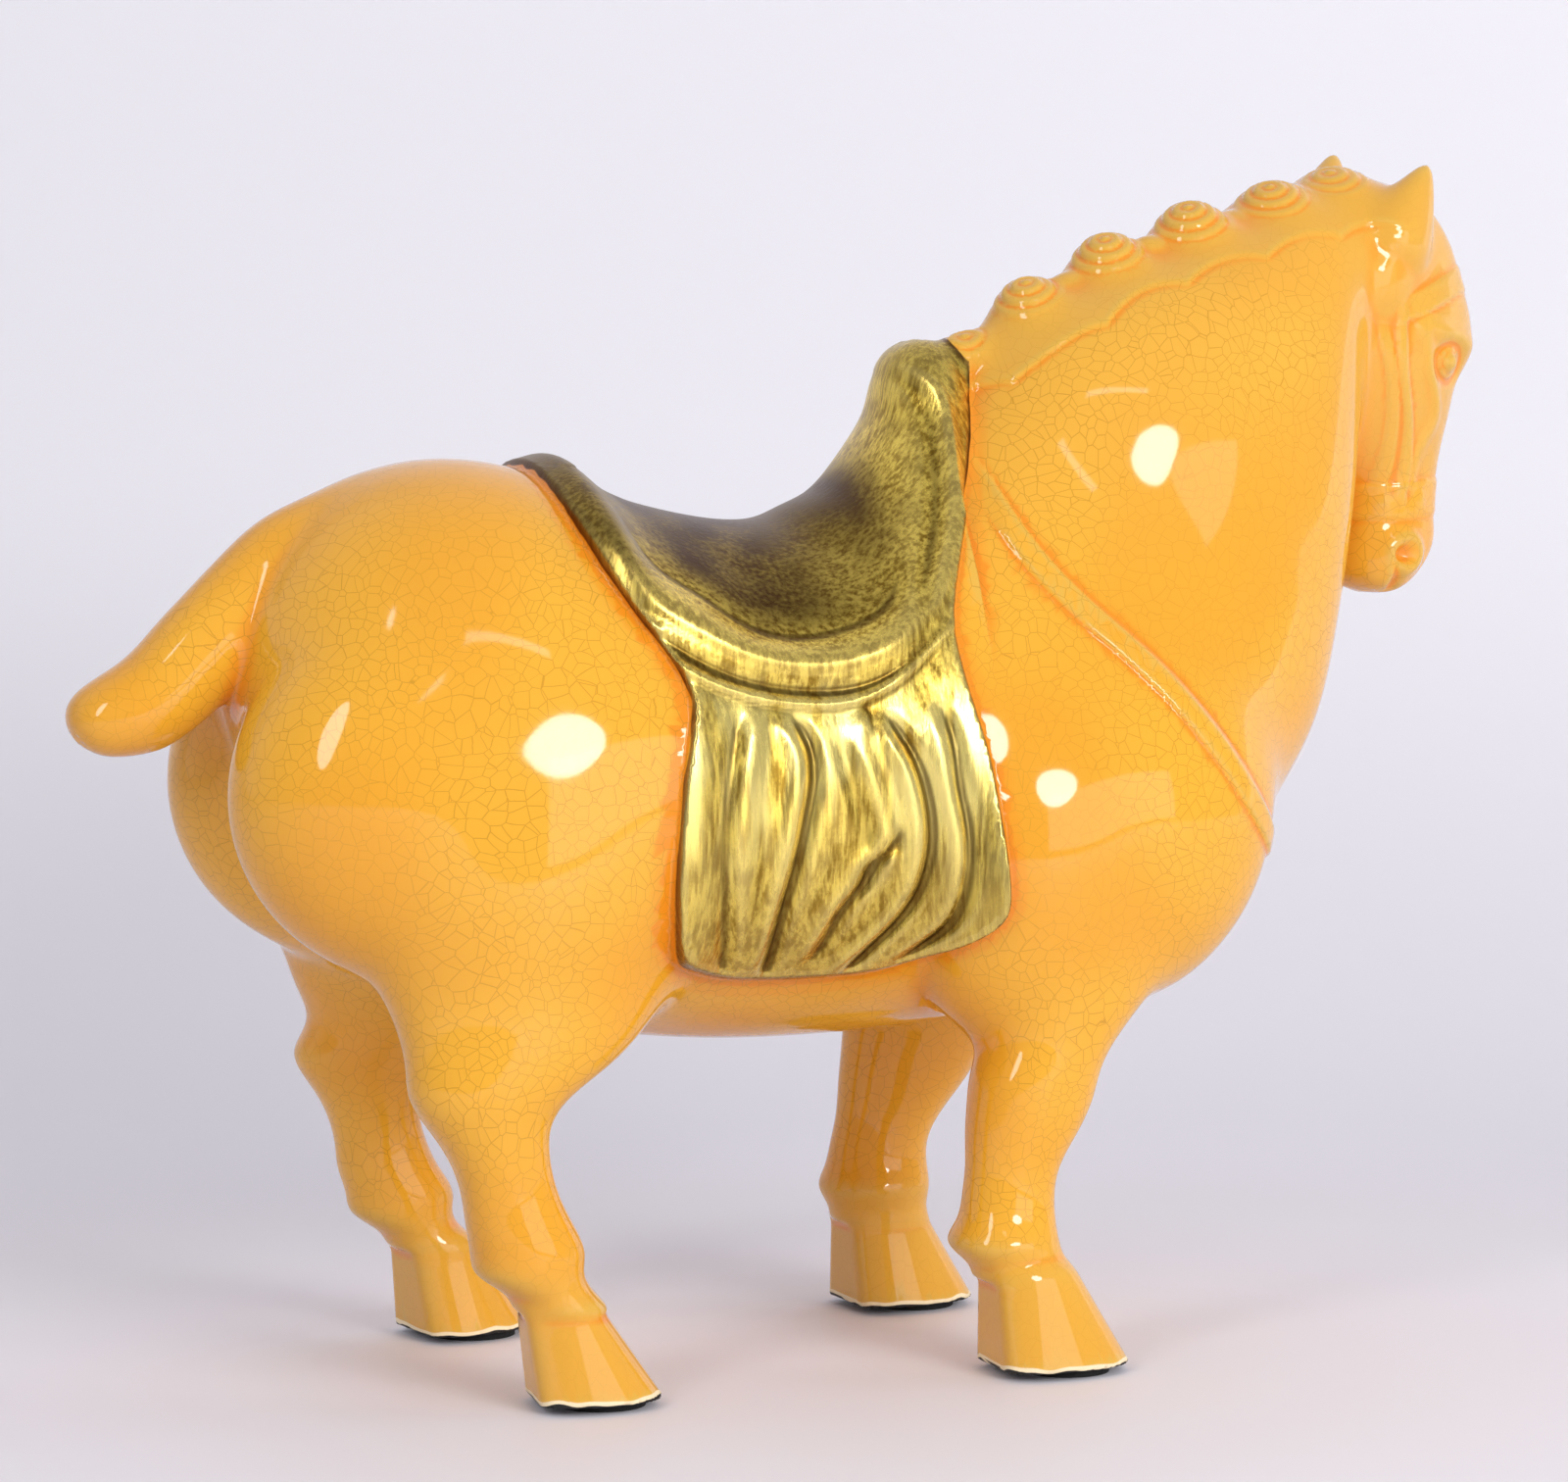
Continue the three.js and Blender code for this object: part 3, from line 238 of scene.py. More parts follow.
def hoof(part, x, w, z):
    s, c = math.sin(math.radians(part["out"])), math.cos(math.radians(part["out"]))
    px, py = x - part["x"], w - part["y"]
    f = px * c + py * s
    g = py * c - px * s
    t = np.clip((z - SOLE_Z) / (HOOF_TOP - SOLE_Z), -0.3, 1.15)
    wide, toe, heel = (part[k][0] + (part[k][1] - part[k][0]) * t for k in ("wide", "toe", "heel"))
    mid = heel + HEEL_BAR
    front = section(np.maximum(f - mid, 0), g, toe - mid, wide, 2.3)
    back = np.abs(g) - wide + part["pinch"] * ((mid - f) / HEEL_BAR) ** 2
    rim = np.where(f > mid, front, back)
    return meet(meet(rim, heel - f, 3), z - HOOF_TOP, 4)


def leg_and_hoof(kind, side, x, y, z):
    rows = LEGS[kind + "_" + side]
    top = LEG_TOPS[kind]
    w = np.abs(y)
    t = np.clip(z, 2, top)
    d = section(x - rows[0](t), w - rows[2](t), rows[1](t), rows[3](t), 2.15)
    d = meet(meet(d, z - top + 10, 20), 24 - z, 3)
    return join(d, hoof(HOOVES[kind], x, w, z), 2.2)


# tail, built up along its slope: place, middle across, half depth, half width
TAIL_ROOT = (-118, 206)
TAIL_FALL = math.radians(40)
TAIL = stations([
    [-22, -3, 10, 10], [-4, 4.6, 11, 11.5], [8, 7, 12.2, 12.2], [20, 6.8, 12.6, 12.6],
    [34, 5.4, 12.8, 12.8], [46, 4.4, 12.6, 13], [56, 4, 12, 13], [66, 5.6, 11.6, 12.6],
    [74, 8, 10.2, 11.6], [80, 9, 9, 10.5],
])


def tail(x, y, z):
    px, pz = TAIL_ROOT[0] - x, TAIL_ROOT[1] - z
    t = px * math.cos(TAIL_FALL) + pz * math.sin(TAIL_FALL)
    n = px * math.sin(TAIL_FALL) - pz * math.cos(TAIL_FALL)
    u = np.clip(t, -22, 80)
    d = section(n - TAIL[0](u), y, TAIL[1](u), TAIL[2](u), 2.1)
    return meet(meet(d, t - 79.7, 12), -t - 20, 6)


# head, in its own directions: a out of the face, s to its left, t down the face
HEAD_AT = (178, 15, 288)
HEAD_TURN = math.radians(29)
HEAD_TUCK = math.radians(14)
HEAD = stations([
    [-14, 8, -12, 10], [-5, 15, -18, 14], [2, 22, -21, 15.8], [8, 26, -22.5, 17],
    [14, 31, -23, 18], [20, 34.2, -23, 18.8], [27, 35.4, -22, 18.8], [35, 31.5, -20.5, 18],
    [44, 31, -17.5, 16.4], [53, 31, -12.5, 14.4], [62, 31.8, -5.5, 12.6], [70, 33.2, 0.5, 11.8],
    [77, 34.6, 3, 12.2], [84, 31.8, 4, 12.2], [92, 26, 5, 11], [101, 20, 8, 9],
])


def to_head(x, y, z):
    px, py, pz = x - HEAD_AT[0], y - HEAD_AT[1], z - HEAD_AT[2]
    f = px * math.cos(HEAD_TURN) + py * math.sin(HEAD_TURN)
    s = py * math.cos(HEAD_TURN) - px * math.sin(HEAD_TURN)
    a = f * math.cos(HEAD_TUCK) - pz * math.sin(HEAD_TUCK)
    t = -f * math.sin(HEAD_TUCK) - pz * math.cos(HEAD_TUCK)
    return a, s, t


def head(a, s, t):
    u = np.clip(t, -14, 101)
    front, back = HEAD[0](u), HEAD[1](u)
    d = section(a - (front + back) / 2, s, (front - back) / 2, HEAD[2](u), 2.25)
    return meet(meet(d, t - 95.5, 9), -t - 12, 14)


# straps of the bridle, the bone of the cheek and their places on the head
BROW_LINE = spline([-14, -5, 1.5, 9, 15.3, 22, 30], [27, 21, 17, 12.5, 9.4, 7.8, 7.2])
CHEEK_LINE = spline([20, 28, 40, 52, 64, 72], [-12.5, -10, -5.3, 2.8, 7.4, 8.8])
JAW_LINE = spline([24, 30, 41, 50.6, 62, 72], [-18, -15.4, -8.7, -3.5, 1, 3.5])
BONE_LINE = spline([24, 31, 38, 44, 49.2, 55, 62, 69], [-5, 0.5, 5.6, 11.4, 13.4, 11.4, 10.2, 10.9])


def face_relief(a, s, t):
    side = ramp(4, 8, np.abs(s))
    e = EDGE_SOFT
    brow = np.abs(t - BROW_LINE(np.clip(a, -14, 30))) * 0.86
    h = 0.6 * ramp(3.4 + e / 2, 3.2 - e, brow) * ramp(-12, -7, a)
    nose = np.abs(t - 72.2 + 0.29 * (a - 7)) * 0.96
    h += 0.55 * ramp(4.9 + e / 2, 4.6 - e, nose)
    cheek = np.abs(a - CHEEK_LINE(np.clip(t, 20, 72)))
    h += side * 0.65 * ramp(2.8, 0.6, cheek) * ramp(20, 25, t) * ramp(74, 70, t)
    jaw = np.abs(a - JAW_LINE(np.clip(t, 24, 72)))
    h += side * 0.4 * ramp(2.8, 1.0, jaw) * ramp(26, 32, t) * ramp(72, 66, t)
    h += side * 0.8 * bump(a - BONE_LINE(np.clip(t, 24, 69)), 2.8) * ramp(25, 31, t) * ramp(70, 64, t)
    # small round studs where the straps cross the noseband
    h += side * (0.7 * bump(np.hypot(a - 16.4, t - 70), 2.6) + 0.6 * bump(np.hypot(a - 5.1, t - 73.2), 2.6))
    # brow over the eye, the lids and the eye in its socket
    h += side * 1.3 * bump(t - 26, 3.4) * ramp(-8, 0, a) * ramp(31, 20, a)
    eye = np.hypot((a - 13.2) / 4.8, (t - 33) / 3.5)
    h += side * (1.3 * ramp(1, 0.2, eye) - 1.1 * bump(eye - 1.3, 0.5) + 0.5 * bump(eye - 1.05, 0.16))
    # flared nostril and the line of the mouth
    flare = np.hypot((a - 14.6) / 5.6, (t - 84.6) / 5.2)
    hollow = np.hypot((a - 12.8) / 3.4, (t - 85.6) / 3.2)
    h += side * (1.4 * bump(flare - 0.85, 0.42) - 1.9 * bump(hollow, 0.8))
    mouth = (a - 11.2 - 0.9 * (t - 88)) * 0.75
    h -= side * bump(mouth, 1.3) * ramp(86, 90, t)
    return h


# ears: foot and tip on the head, and the lobe that runs down the cheek
EAR_FOOT = np.array([-12.6, 12.2, 6])
EAR_TIPS = {"right": np.array([-5.9, 14.6, -16.6]), "left": np.array([-5.5, 16, -20])}
EAR_SIZE = 10.2


def ear(side, a, s, t):
    length = np.linalg.norm(EAR_TIPS[side] - EAR_FOOT)
    axis = (EAR_TIPS[side] - EAR_FOOT) / length
    p = [a - EAR_FOOT[0], s - EAR_FOOT[1], t - EAR_FOOT[2]]
    q = p[0] * axis[0] + p[1] * axis[1] + p[2] * axis[2]
    v = [p[i] - q * axis[i] for i in range(3)]
    k = np.clip(q / length, 0, 1)
    size = EAR_SIZE * np.power(np.maximum(0, 1 - np.power(k, 1.35)), 0.8) + 0.3
    cone = (np.sqrt(v[0] ** 2 + (v[1] * 1.18) ** 2 + v[2] ** 2) - size) * 0.8
    body = meet(meet(cone, q - length, 2.5), -q - 6, 5)
    hollow = ellipsoid(v[0], v[1], q, (5.4, 0.8, 10), (3.6, 3.9, 10.5))
    lobe = ellipsoid(a, s, t, (-13.2, 13.4, 11), (8.2, 5.2, 15.5), 12)
    return join(meet(body, -hollow, 1.6), lobe, 2.5)


def head_and_ears(d, x, y, z):
    a, s, t = to_head(x, y, z)
    h = head(a, s, t)
    near = h < 12
    h[near] -= face_relief(a[near], s[near], t[near]) * ramp(-26, -20, a[near])
    d = join(d, h, 10)
    d = join(d, ear("right", a, -s, t), 4)
    return join(d, ear("left", a, s, t), 4)


def blend(d, where, change, x, y, z):
    """Changes the distances only in a region of space."""
    if where.any():
        d[where] = change(d[where], x[where], y[where], z[where])


def rump(d, x, y, z):
    w = np.abs(y)
    d = join(d, ellipsoid(x, y, z, (-95, 0, 178), (51, 53, 50.5)), 14)
    d = join(d, ellipsoid(x, w, z, (-85, 42.5, 121), (38, 25, 40)), 20)
    return join(d, ellipsoid(x, w, z, (-102.5, 28.5, 149), (51, 35, 47)), 7)


def chest(d, x, y, z):
    w = np.abs(y)
    d = join(d, ellipsoid(x, w, z, (74, 33, 136.5), (43, 33, 44)), 20)
    d = join(d, ellipsoid(x, w, z, (52, 38, 130), (38, 30, 50)), 4)
    d = join(d, ellipsoid(x, w, z, (79.5, 27, 116), (27, 19, 19), 36), 12)
    return join(d, ellipsoid(x, y, z, (105, 3, 105), (17, 13, 11), 24), 9)


def bare_horse(x, y, z):
    d = np.full(len(x), 60.0)
    high = z > 48
    blend(d, high, lambda d, x, y, z: torso(x, y, z), x, y, z)
    blend(d, high & (x > -20) & (z > 60), lambda d, x, y, z: join(d, neck(x, y, z), 26), x, y, z)
    blend(d, high & (x < -15), rump, x, y, z)
    blend(d, high & (x >= -15), chest, x, y, z)
    for kind, zone in (("fore", (z < 140) & (x > -15)), ("hind", (z < 130) & (x < -15))):
        for side, half in (("right", y < 0), ("left", y >= 0)):
            def add(d, x, y, z, kind=kind, side=side):
                return join(d, leg_and_hoof(kind, side, x, y, z), 9)
            blend(d, zone & half, add, x, y, z)
    blend(d, (x < -80) & (z > 130), lambda d, x, y, z: join(d, tail(x, y, z), 4), x, y, z)
    blend(d, (x > 125) & (z > 175), head_and_ears, x, y, z)
    return meet(d, SOLE_Z - z, 0.8)


# saddle and cloth: where their back, front and lower edges lie on the flank
BACK_EDGE = spline(
    [96, 108, 119, 133, 147.5, 159, 168, 173, 182, 190, 198, 206, 214.4, 222, 230, 240],
    [-50.5, -51.6, -53, -53.2, -52, -50.2, -48.4, -48.2, -52.2, -57.4, -62.5, -66.4, -69.4, -71, -71.4, -71.6])
FRONT_EDGE = spline(
    [96, 110, 121, 132, 141, 157, 173, 182, 190, 200, 210, 226, 240, 252, 262],
    [32.5, 34.3, 34.6, 33.9, 32.8, 30.6, 26.6, 24.9, 24.7, 27.6, 32, 38.8, 43, 46, 47])
HEM_LINE = spline(
    [-62, -51, -39, -22, -4.5, 5.4, 16, 25, 34, 42],
    [109, 107.6, 104, 102, 102.2, 103, 105.6, 109.4, 115.5, 121])
UPPER_RIM = spline([-64, -51.3, -35.7, -19.4, -5.1, 6.8, 17.2, 26],
                   [195.5, 187.8, 179.9, 176.4, 176.4, 180.2, 187.6, 195.5])
LOWER_RIM = spline([-62, -46.8, -31.7, -20, -5.7, 4.1, 15.7, 26],
                   [188, 178.9, 173.2, 171.2, 171.3, 174.6, 182.8, 191.5])

# hanging folds: line of the groove, its two ends, depth, width, and the soft ridge beside it
FOLDS = [
    dict(line=spline([100, 107.5, 125, 143.6, 160, 172], [-37.6, -38.2, -40, -40.4, -38, -35.4]),
         ends=(102, 171), deep=1.1, wide=1.9, side=5.0, swell=0.8),
    dict(line=spline([100, 106.4, 119.9, 131.9, 143.8, 153.3, 160.5, 166.9, 174],
                     [-25.6, -24.7, -23, -20.3, -17.9, -16.3, -17.2, -20, -23]),
         ends=(101, 169), deep=1.9, wide=1.9, side=-4.6, swell=1.2),
    dict(line=spline([112, 118.6, 127, 136.8, 148, 158.7, 168], [-4.4, -3.2, -2, -2.2, -5, -8.4, -10.5]),
         ends=(124, 164), deep=0.9, wide=2.4, side=5.0, swell=0.7),
    dict(line=spline([104, 111.9, 119.3, 126.3, 131.2, 135.9, 142], [-15, -10.8, -7.5, -2.4, 0.7, 4.5, 7]),
         ends=(106, 140), deep=1.2, wide=1.9, side=-4.4, swell=0.8),
    dict(line=spline([100, 108.9, 118.4, 128.2, 137.9, 147.6, 157.3, 164.7, 172],
                     [-6, 1.6, 9.9, 14.3, 15.4, 14, 10.6, 6.2, 2]),
         ends=(102, 168), deep=1.9, wide=1.9, side=-4.6, swell=1.2),
    dict(line=spline([104, 113.2, 120.7, 130.5, 140.2, 149.9, 159.5, 169.2], [8, 19.5, 23.4, 25, 24.5, 22.5, 21.3, 19]),
         ends=(106, 170), deep=1.4, wide=1.8, side=-4.2, swell=0.9),
    dict(line=spline([158, 163.9, 169.7, 174.4], [2.6, 0.7, -1.4, -3.6]),
         ends=(160, 176), deep=0.8, wide=1.5, side=-3.4, swell=0.5),
]


def folds(x, z):
    h = 0.5 * bump(x + 47.5, 3)
    for fold in FOLDS:
        low, high = fold["ends"]
        off = x - fold["line"](np.clip(z, low, high))
        h = h - 0.85 * fold["deep"] * bump(off, fold["wide"] + 0.4) * ramp(low - 2, low + 6, z) * ramp(high + 2, high - 7, z)
        h = h + fold["swell"] * bump(off - fold["side"], 3) * ramp(low - 4, low + 8, z) * ramp(high + 4, high - 8, z)
    return h


# seat: middle of its dish, and the distance from there to the rim's inner edge, by angle
DISH_MIDDLE = (-20, 228)
DISH_EDGE = spline(
    np.radians([-181, -177.6, -167.4, -148.4, -125.6, -103.2, -86.5, -66.7, -49.7, -32.9, -13.7, 1]),
    [41, 40.9, 39, 39.9, 37.6, 39.9, 41.5, 42.9, 43.8, 41.1, 40, 39])
DISH_DEPTH = 2.2
ROLL_HEIGHT = 3.2
CANTLE_LIP = 3.2
SEAT_FRONT = 2.4


def dish(x, z):
    """How far a place on the seat lies inside the rim's inner edge."""
    fall = np.minimum(z - DISH_MIDDLE[1], 0)
    reach = np.hypot(x - DISH_MIDDLE[0], fall)
    return DISH_EDGE(np.arctan2(fall, x - DISH_MIDDLE[0])) - reach


def inside_edge(x, z):
    """How far a place on the flank lies inside the edge of saddle and cloth."""
    sides = join(x - BACK_EDGE(z), FRONT_EDGE(z) - x, 5)
    return join(sides, (z - HEM_LINE(x)) * 0.97, 5)


def cover(x, z):
    """Thickness of saddle and cloth over the flank."""
    inside = inside_edge(x, z)
    mask = ramp(-0.4 - EDGE_SOFT / 2, 0.6 + EDGE_SOFT / 2, inside)
    xc = np.clip(x, -62, 26)
    s1 = UPPER_RIM(xc + 0.5) - UPPER_RIM(xc - 0.5)
    s2 = LOWER_RIM(xc + 0.5) - LOWER_RIM(xc - 0.5)
    e1 = (z - UPPER_RIM(xc)) / np.hypot(1, s1)
    e2 = (z - LOWER_RIM(xc)) / np.hypot(1, s2)
    cloth = 2.6 + 2.6 * ramp(150, 104, z)
    hang = folds(x, z) * ramp(0, 7, -e2) * (0.55 + 0.45 * ramp(0, 4, inside))
    # seat: a dish inside a full rolled rim
    within = dish(x, z)
    outside = np.maximum(join(inside, e1, 4), 0.01)
    place = outside / (outside + np.maximum(-within, 0) + 0.01)
    crown = ramp(205, 226, z)
    roll = np.sin(math.pi * np.clip(place, 0, 1)) ** 1.15
    swell = ROLL_HEIGHT - (ROLL_HEIGHT - 0.6) * crown
    seat = 3.4 - 1.3 * crown + swell * roll * (1 - ramp(190, 212, z) * ramp(-8, 10, x))
    seat -= DISH_DEPTH * ramp(-2, 15, within) * (1 - 0.35 * crown)
    seat += SEAT_FRONT * bump(x - 3, 9) * ramp(205, 220, z)
    seat += CANTLE_LIP * bump(inside - 9, 6) * ramp(196, 222, z) * ramp(-36, -52, x)
    up = ramp(-2.5, 1.5, e1)
    h = (cloth + hang) * (1 - up) + seat * up
    h *= 1 - 0.7 * ramp(232, 244, z) * ramp(10, 26, x)
    h += 1.3 * bump(e2, 1.5) + 0.9 * bump(e1, 1.6)
    return h * mask


# pommel: height, middle along X, half length, half width
POMMEL = stations([
    [176, 14, 9, 50], [190, 18, 12, 47], [200, 23.5, 14, 43], [210, 28, 15.6, 36.5],
    [220, 32.4, 15.8, 30.5], [230, 35.3, 14.1, 25], [240, 36.8, 11.7, 20], [250, 36.3, 10.7, 15.5],
    [261, 35.6, 8.4, 10.5],
])


def pommel(x, y, z):
    d = section(x - POMMEL[0](z), y, POMMEL[1](z), POMMEL[2](z), 2.3)
    return meet(meet(d, z - 259.6, 13), 182 - z, 14)


# mane: the line of the crest and a row of coiled knots on it
CREST_LINE = spline([40, 47, 59.6, 80, 101, 126, 150, 171, 186],
                    [251, 256.5, 263.2, 275.8, 284.8, 292, 297.5, 298, 294])
KNOTS = [
    dict(at=(49.3, -3.5, 254), round=6.5, tall=6.9),
    dict(at=(67, -3, 263.4), round=9.9, tall=12.4),
    dict(at=(89.8, -1.5, 274.4), round=10.7, tall=12.8),
    dict(at=(114.4, 0.5, 282.4), round=11.1, tall=13.2),
    dict(at=(140, 5, 287.8), round=11.3, tall=13.3),
    dict(at=(160.6, 11, 291.4), round=11.1, tall=13.3),
]
# small tufts that fill the gaps between the lower knots
TUFTS = [(76.5, -4.5, 271.5), (100.2, -3.5, 281.2), (126, 0.5, 287.6)]
TUFT_SIZE = 4.6
SCALLOP_FROM = 54.5
SCALLOP_PITCH = 24.2
SCALLOP_HIGH = 8.6
SCALLOP_LOW = 11
KNOT_TILT = math.radians(26)
KNOT_LEAN = math.radians(-18)
KNOT_AXIS = (math.sin(KNOT_LEAN), -math.sin(KNOT_TILT) * math.cos(KNOT_LEAN),
             math.cos(KNOT_TILT) * math.cos(KNOT_LEAN))
COIL_DEPTH = 0.26
COIL_PITCH = 2.9


def knot(item, x, y, z):
    px, py, pz = x - item["at"][0], y - item["at"][1], z - item["at"][2]
    up = px * KNOT_AXIS[0] + py * KNOT_AXIS[1] + pz * KNOT_AXIS[2]
    out = np.sqrt(np.maximum(0, px * px + py * py + pz * pz - up * up))
    near = np.hypot(out / item["round"], up / item["tall"])
    slope = np.hypot(out / item["round"] ** 2, up / item["tall"] ** 2) + 1e-9
    ring = np.cos(2 * math.pi * (out * 0.8 - up * 0.35 + item["tall"] * 0.35) / COIL_PITCH)
    return near * (near - 1) / slope - COIL_DEPTH * ring * ramp(1.1, 0.8, out / item["round"])


def mane_band(x, z):
    below = (CREST_LINE(x) - z) * 0.93
    turn = (x - SCALLOP_FROM) / SCALLOP_PITCH
    away = np.abs(turn - np.floor(turn) - 0.5) * 2
    depth = SCALLOP_HIGH + (SCALLOP_LOW - SCALLOP_HIGH) * away ** 2
    edge = depth - below
    lip = 0.2 * bump(edge - 1.2, 1.4)
    return (0.5 * ramp(-1.2, EDGE_SOFT, edge) + lip) * ramp(40, 48, x) * ramp(174, 162, x)


# breast strap: height on the body as a function of the place along X
STRAP_LINE = spline([36, 42.4, 46.5, 54.9, 68.4, 81, 95.8, 109.3, 120, 130, 140],
                    [236, 221, 211.6, 198.5, 185.1, 172.7, 154.9, 138.5, 129, 124, 122])
STRAP_HALF = 3.1


def strap(x, z):
    slope = STRAP_LINE(x + 0.5) - STRAP_LINE(x - 0.5)
    off = np.abs(z - STRAP_LINE(x)) / np.hypot(1, slope)
    band = 0.9 * ramp(STRAP_HALF + EDGE_SOFT, STRAP_HALF - EDGE_SOFT, off)
    return band * ramp(40, 46, x) * ramp(142, 138, x)


POMMEL_RIDGE = spline([181.5, 188.4, 200.1, 209.5, 221.4, 231, 240.7, 248.1, 252],
                      [7.7, 16.4, 23, 28, 32.6, 35, 35.9, 33.9, 31.2])


def front_ridge(x, z):
    off = x - POMMEL_RIDGE(z)
    return (0.9 * bump(off, 2.3) - 0.6 * bump(off + 4.6, 2.2)) * ramp(188, 200, z) * ramp(254, 246, z)


def saddle(d, x, y, z):
    d = d - cover(x, z)
    high = z > 160
    front = FRONT_EDGE(z)
    width = np.where(x < 34, 15, 3 + 12 * ramp(1, 0, (x - 34) / np.maximum(front - 34, 1)))
    return np.where(high, join(d, pommel(x, y, z), width) - front_ridge(x, z), d)


def mane(d, x, y, z):
    d = d - mane_band(x, z)
    for item in KNOTS:
        d = join(d, knot(item, x, y, z), 8)
    for at in TUFTS:
        d = join(d, np.sqrt((x - at[0]) ** 2 + (y - at[1]) ** 2 + (z - at[2]) ** 2) - TUFT_SIZE, 2.5)
    return d


def horse(x, y, z):
    """The whole casting: negative inside, positive outside."""
    d = bare_horse(x, y, z)
    near = d < 36
    blend(d, near & (x > -84) & (x < 62) & (z > 94), saddle, x, y, z)
    blend(d, near & (x > 29) & (x < 186) & (z > 233), mane, x, y, z)
    blend(d, near & (x > 40) & (x < 142), lambda d, x, y, z: d - strap(x, z), x, y, z)
    return d


def sample(points):
    """The field at many points, on all processors."""
    parts = np.array_split(points, max(1, len(points) // 60000))
    with ThreadPoolExecutor(4) as pool:
        found = pool.map(lambda p: horse(p[:, 0], p[:, 1], p[:, 2]), parts)
        return np.concatenate(list(found))


def slope_at(points, reach=0.2):
    """Gradient of the field, by central differences."""
    out = np.empty_like(points)
    for axis in range(3):
        step = np.zeros(3)
        step[axis] = reach
        out[:, axis] = (sample(points + step) - sample(points - step)) / (2 * reach)
    return out


def settle(points, most):
    """Moves points onto the surface."""
    g = slope_at(points)
    gg = (g * g).sum(1) + 1e-9
    f = sample(points)
    limit = most / np.sqrt(gg)
    return points - g * np.clip(f / gg, -limit, limit)[:, None]


LOW = np.array([-196.0, -78.0, -3.0])
HIGH = np.array([216.0, 78.0, 318.0])
BLOCK = 8
CORNERS = np.array([[q & 1, (q >> 1) & 1, q >> 2] for q in range(8)])


def tangled_codes():
    """Cell patterns whose inside or outside corners fall into two groups."""
    def whole(own):
        seen = set(list(own)[:1])
        for _ in range(8):
            seen |= {r for q in seen for r in (q ^ 1, q ^ 2, q ^ 4) if r in own}
        return len(seen) == len(own)
    found = np.zeros(256, bool)
    for code in range(256):
        inside = {q for q in range(8) if code >> q & 1}
        found[code] = not whole(inside) or not whole(set(range(8)) - inside)
    return found


def sampled_grid(step):
    """Field values on a grid, worked out only in blocks that the surface passes."""
    n = np.ceil((HIGH - LOW) / step / BLOCK).astype(int)
    coarse = np.stack(np.meshgrid(*[np.arange(k + 1) for k in n], indexing="ij"), -1)
    rough = sample(LOW + coarse.reshape(-1, 3) * step * BLOCK).reshape(coarse.shape[:3])
    corner = [rough[a:a + n[0], b:b + n[1], c:c + n[2]] for a, b, c in CORNERS]
    limit = BLOCK * step * 1.2 + 1
    busy = np.argwhere((np.min(corner, 0) < limit) & (np.max(corner, 0) > -limit))
    known = np.zeros(n * BLOCK + 1, bool)
    for a, b, c in busy * BLOCK:
        known[a:a + BLOCK + 1, b:b + BLOCK + 1, c:c + BLOCK + 1] = True
    value = np.full(known.shape, np.nan, np.float32)
    value[known] = sample(LOW + np.argwhere(known) * step)
    return value


def untangle(value):
    """Fills the nearest outside value in cells where two sheets would touch."""
    tangled = tangled_codes()
    weights = 1 << np.arange(8)
    while True:
        inside = value < 0
        count = sum(inside[a:a + value.shape[0] - 1, b:b + value.shape[1] - 1, c:c + value.shape[2] - 1]
                    .astype(np.uint8) for a, b, c in CORNERS)
        cells = np.argwhere((count > 0) & (count < 8))
        at = cells[:, None, :] + CORNERS
        v = value[at[..., 0], at[..., 1], at[..., 2]]
        good = ~np.isnan(v).any(1)
        cells, at, v = cells[good], at[good], v[good]
        bad = tangled[((v < 0) * weights).sum(1)]
        if not bad.any():
            return cells, v
        which = np.where(v[bad] < 0, np.inf, v[bad]).argmin(1)
        spot = at[bad][np.arange(bad.sum()), which]
        value[spot[:, 0], spot[:, 1], spot[:, 2]] = -0.002


def skin(step):
    """Closed surface of the field: one point in every cell that it passes, and four-sided faces."""
    value = sampled_grid(step)
    cells, v = untangle(value)
    total = np.zeros((len(cells), 3))
    count = np.zeros(len(cells))
    for axis in range(3):
        for q in range(8):
            r = q | (1 << axis)
            if r == q:
                continue
            cut = (v[:, q] < 0) != (v[:, r] < 0)
            t = v[cut, q] / (v[cut, q] - v[cut, r])
            place = np.repeat(CORNERS[q][None].astype(float), len(t), 0)
            place[:, axis] = t
            total[cut] += place
            count[cut] += 1
    points = LOW + (cells + total / count[:, None]) * step
    number = np.full(value.shape, -1, np.int32)
    number[cells[:, 0], cells[:, 1], cells[:, 2]] = np.arange(len(cells))
    faces = []
    for axis in range(3):
        one, two = (axis + 1) % 3, (axis + 2) % 3
        low = [slice(1, -1)] * 3
        high = list(low)
        high[axis] = slice(2, None)
        a, b = value[tuple(low)], value[tuple(high)]
        cut = (a < 0) != (b < 0)
        cut &= ~np.isnan(a) & ~np.isnan(b)
        at = np.argwhere(cut) + 1
        step_one, step_two = np.eye(3, dtype=int)[one], np.eye(3, dtype=int)[two]
        ring = [at - step_one - step_two, at - step_two, at, at - step_one]
        quad = np.stack([number[p[:, 0], p[:, 1], p[:, 2]] for p in ring], 1)
        inward = value[at[:, 0], at[:, 1], at[:, 2]] >= 0
        quad[inward] = quad[inward][:, ::-1]
        faces.append(quad[(quad >= 0).all(1)])
    return points, np.concatenate(faces)


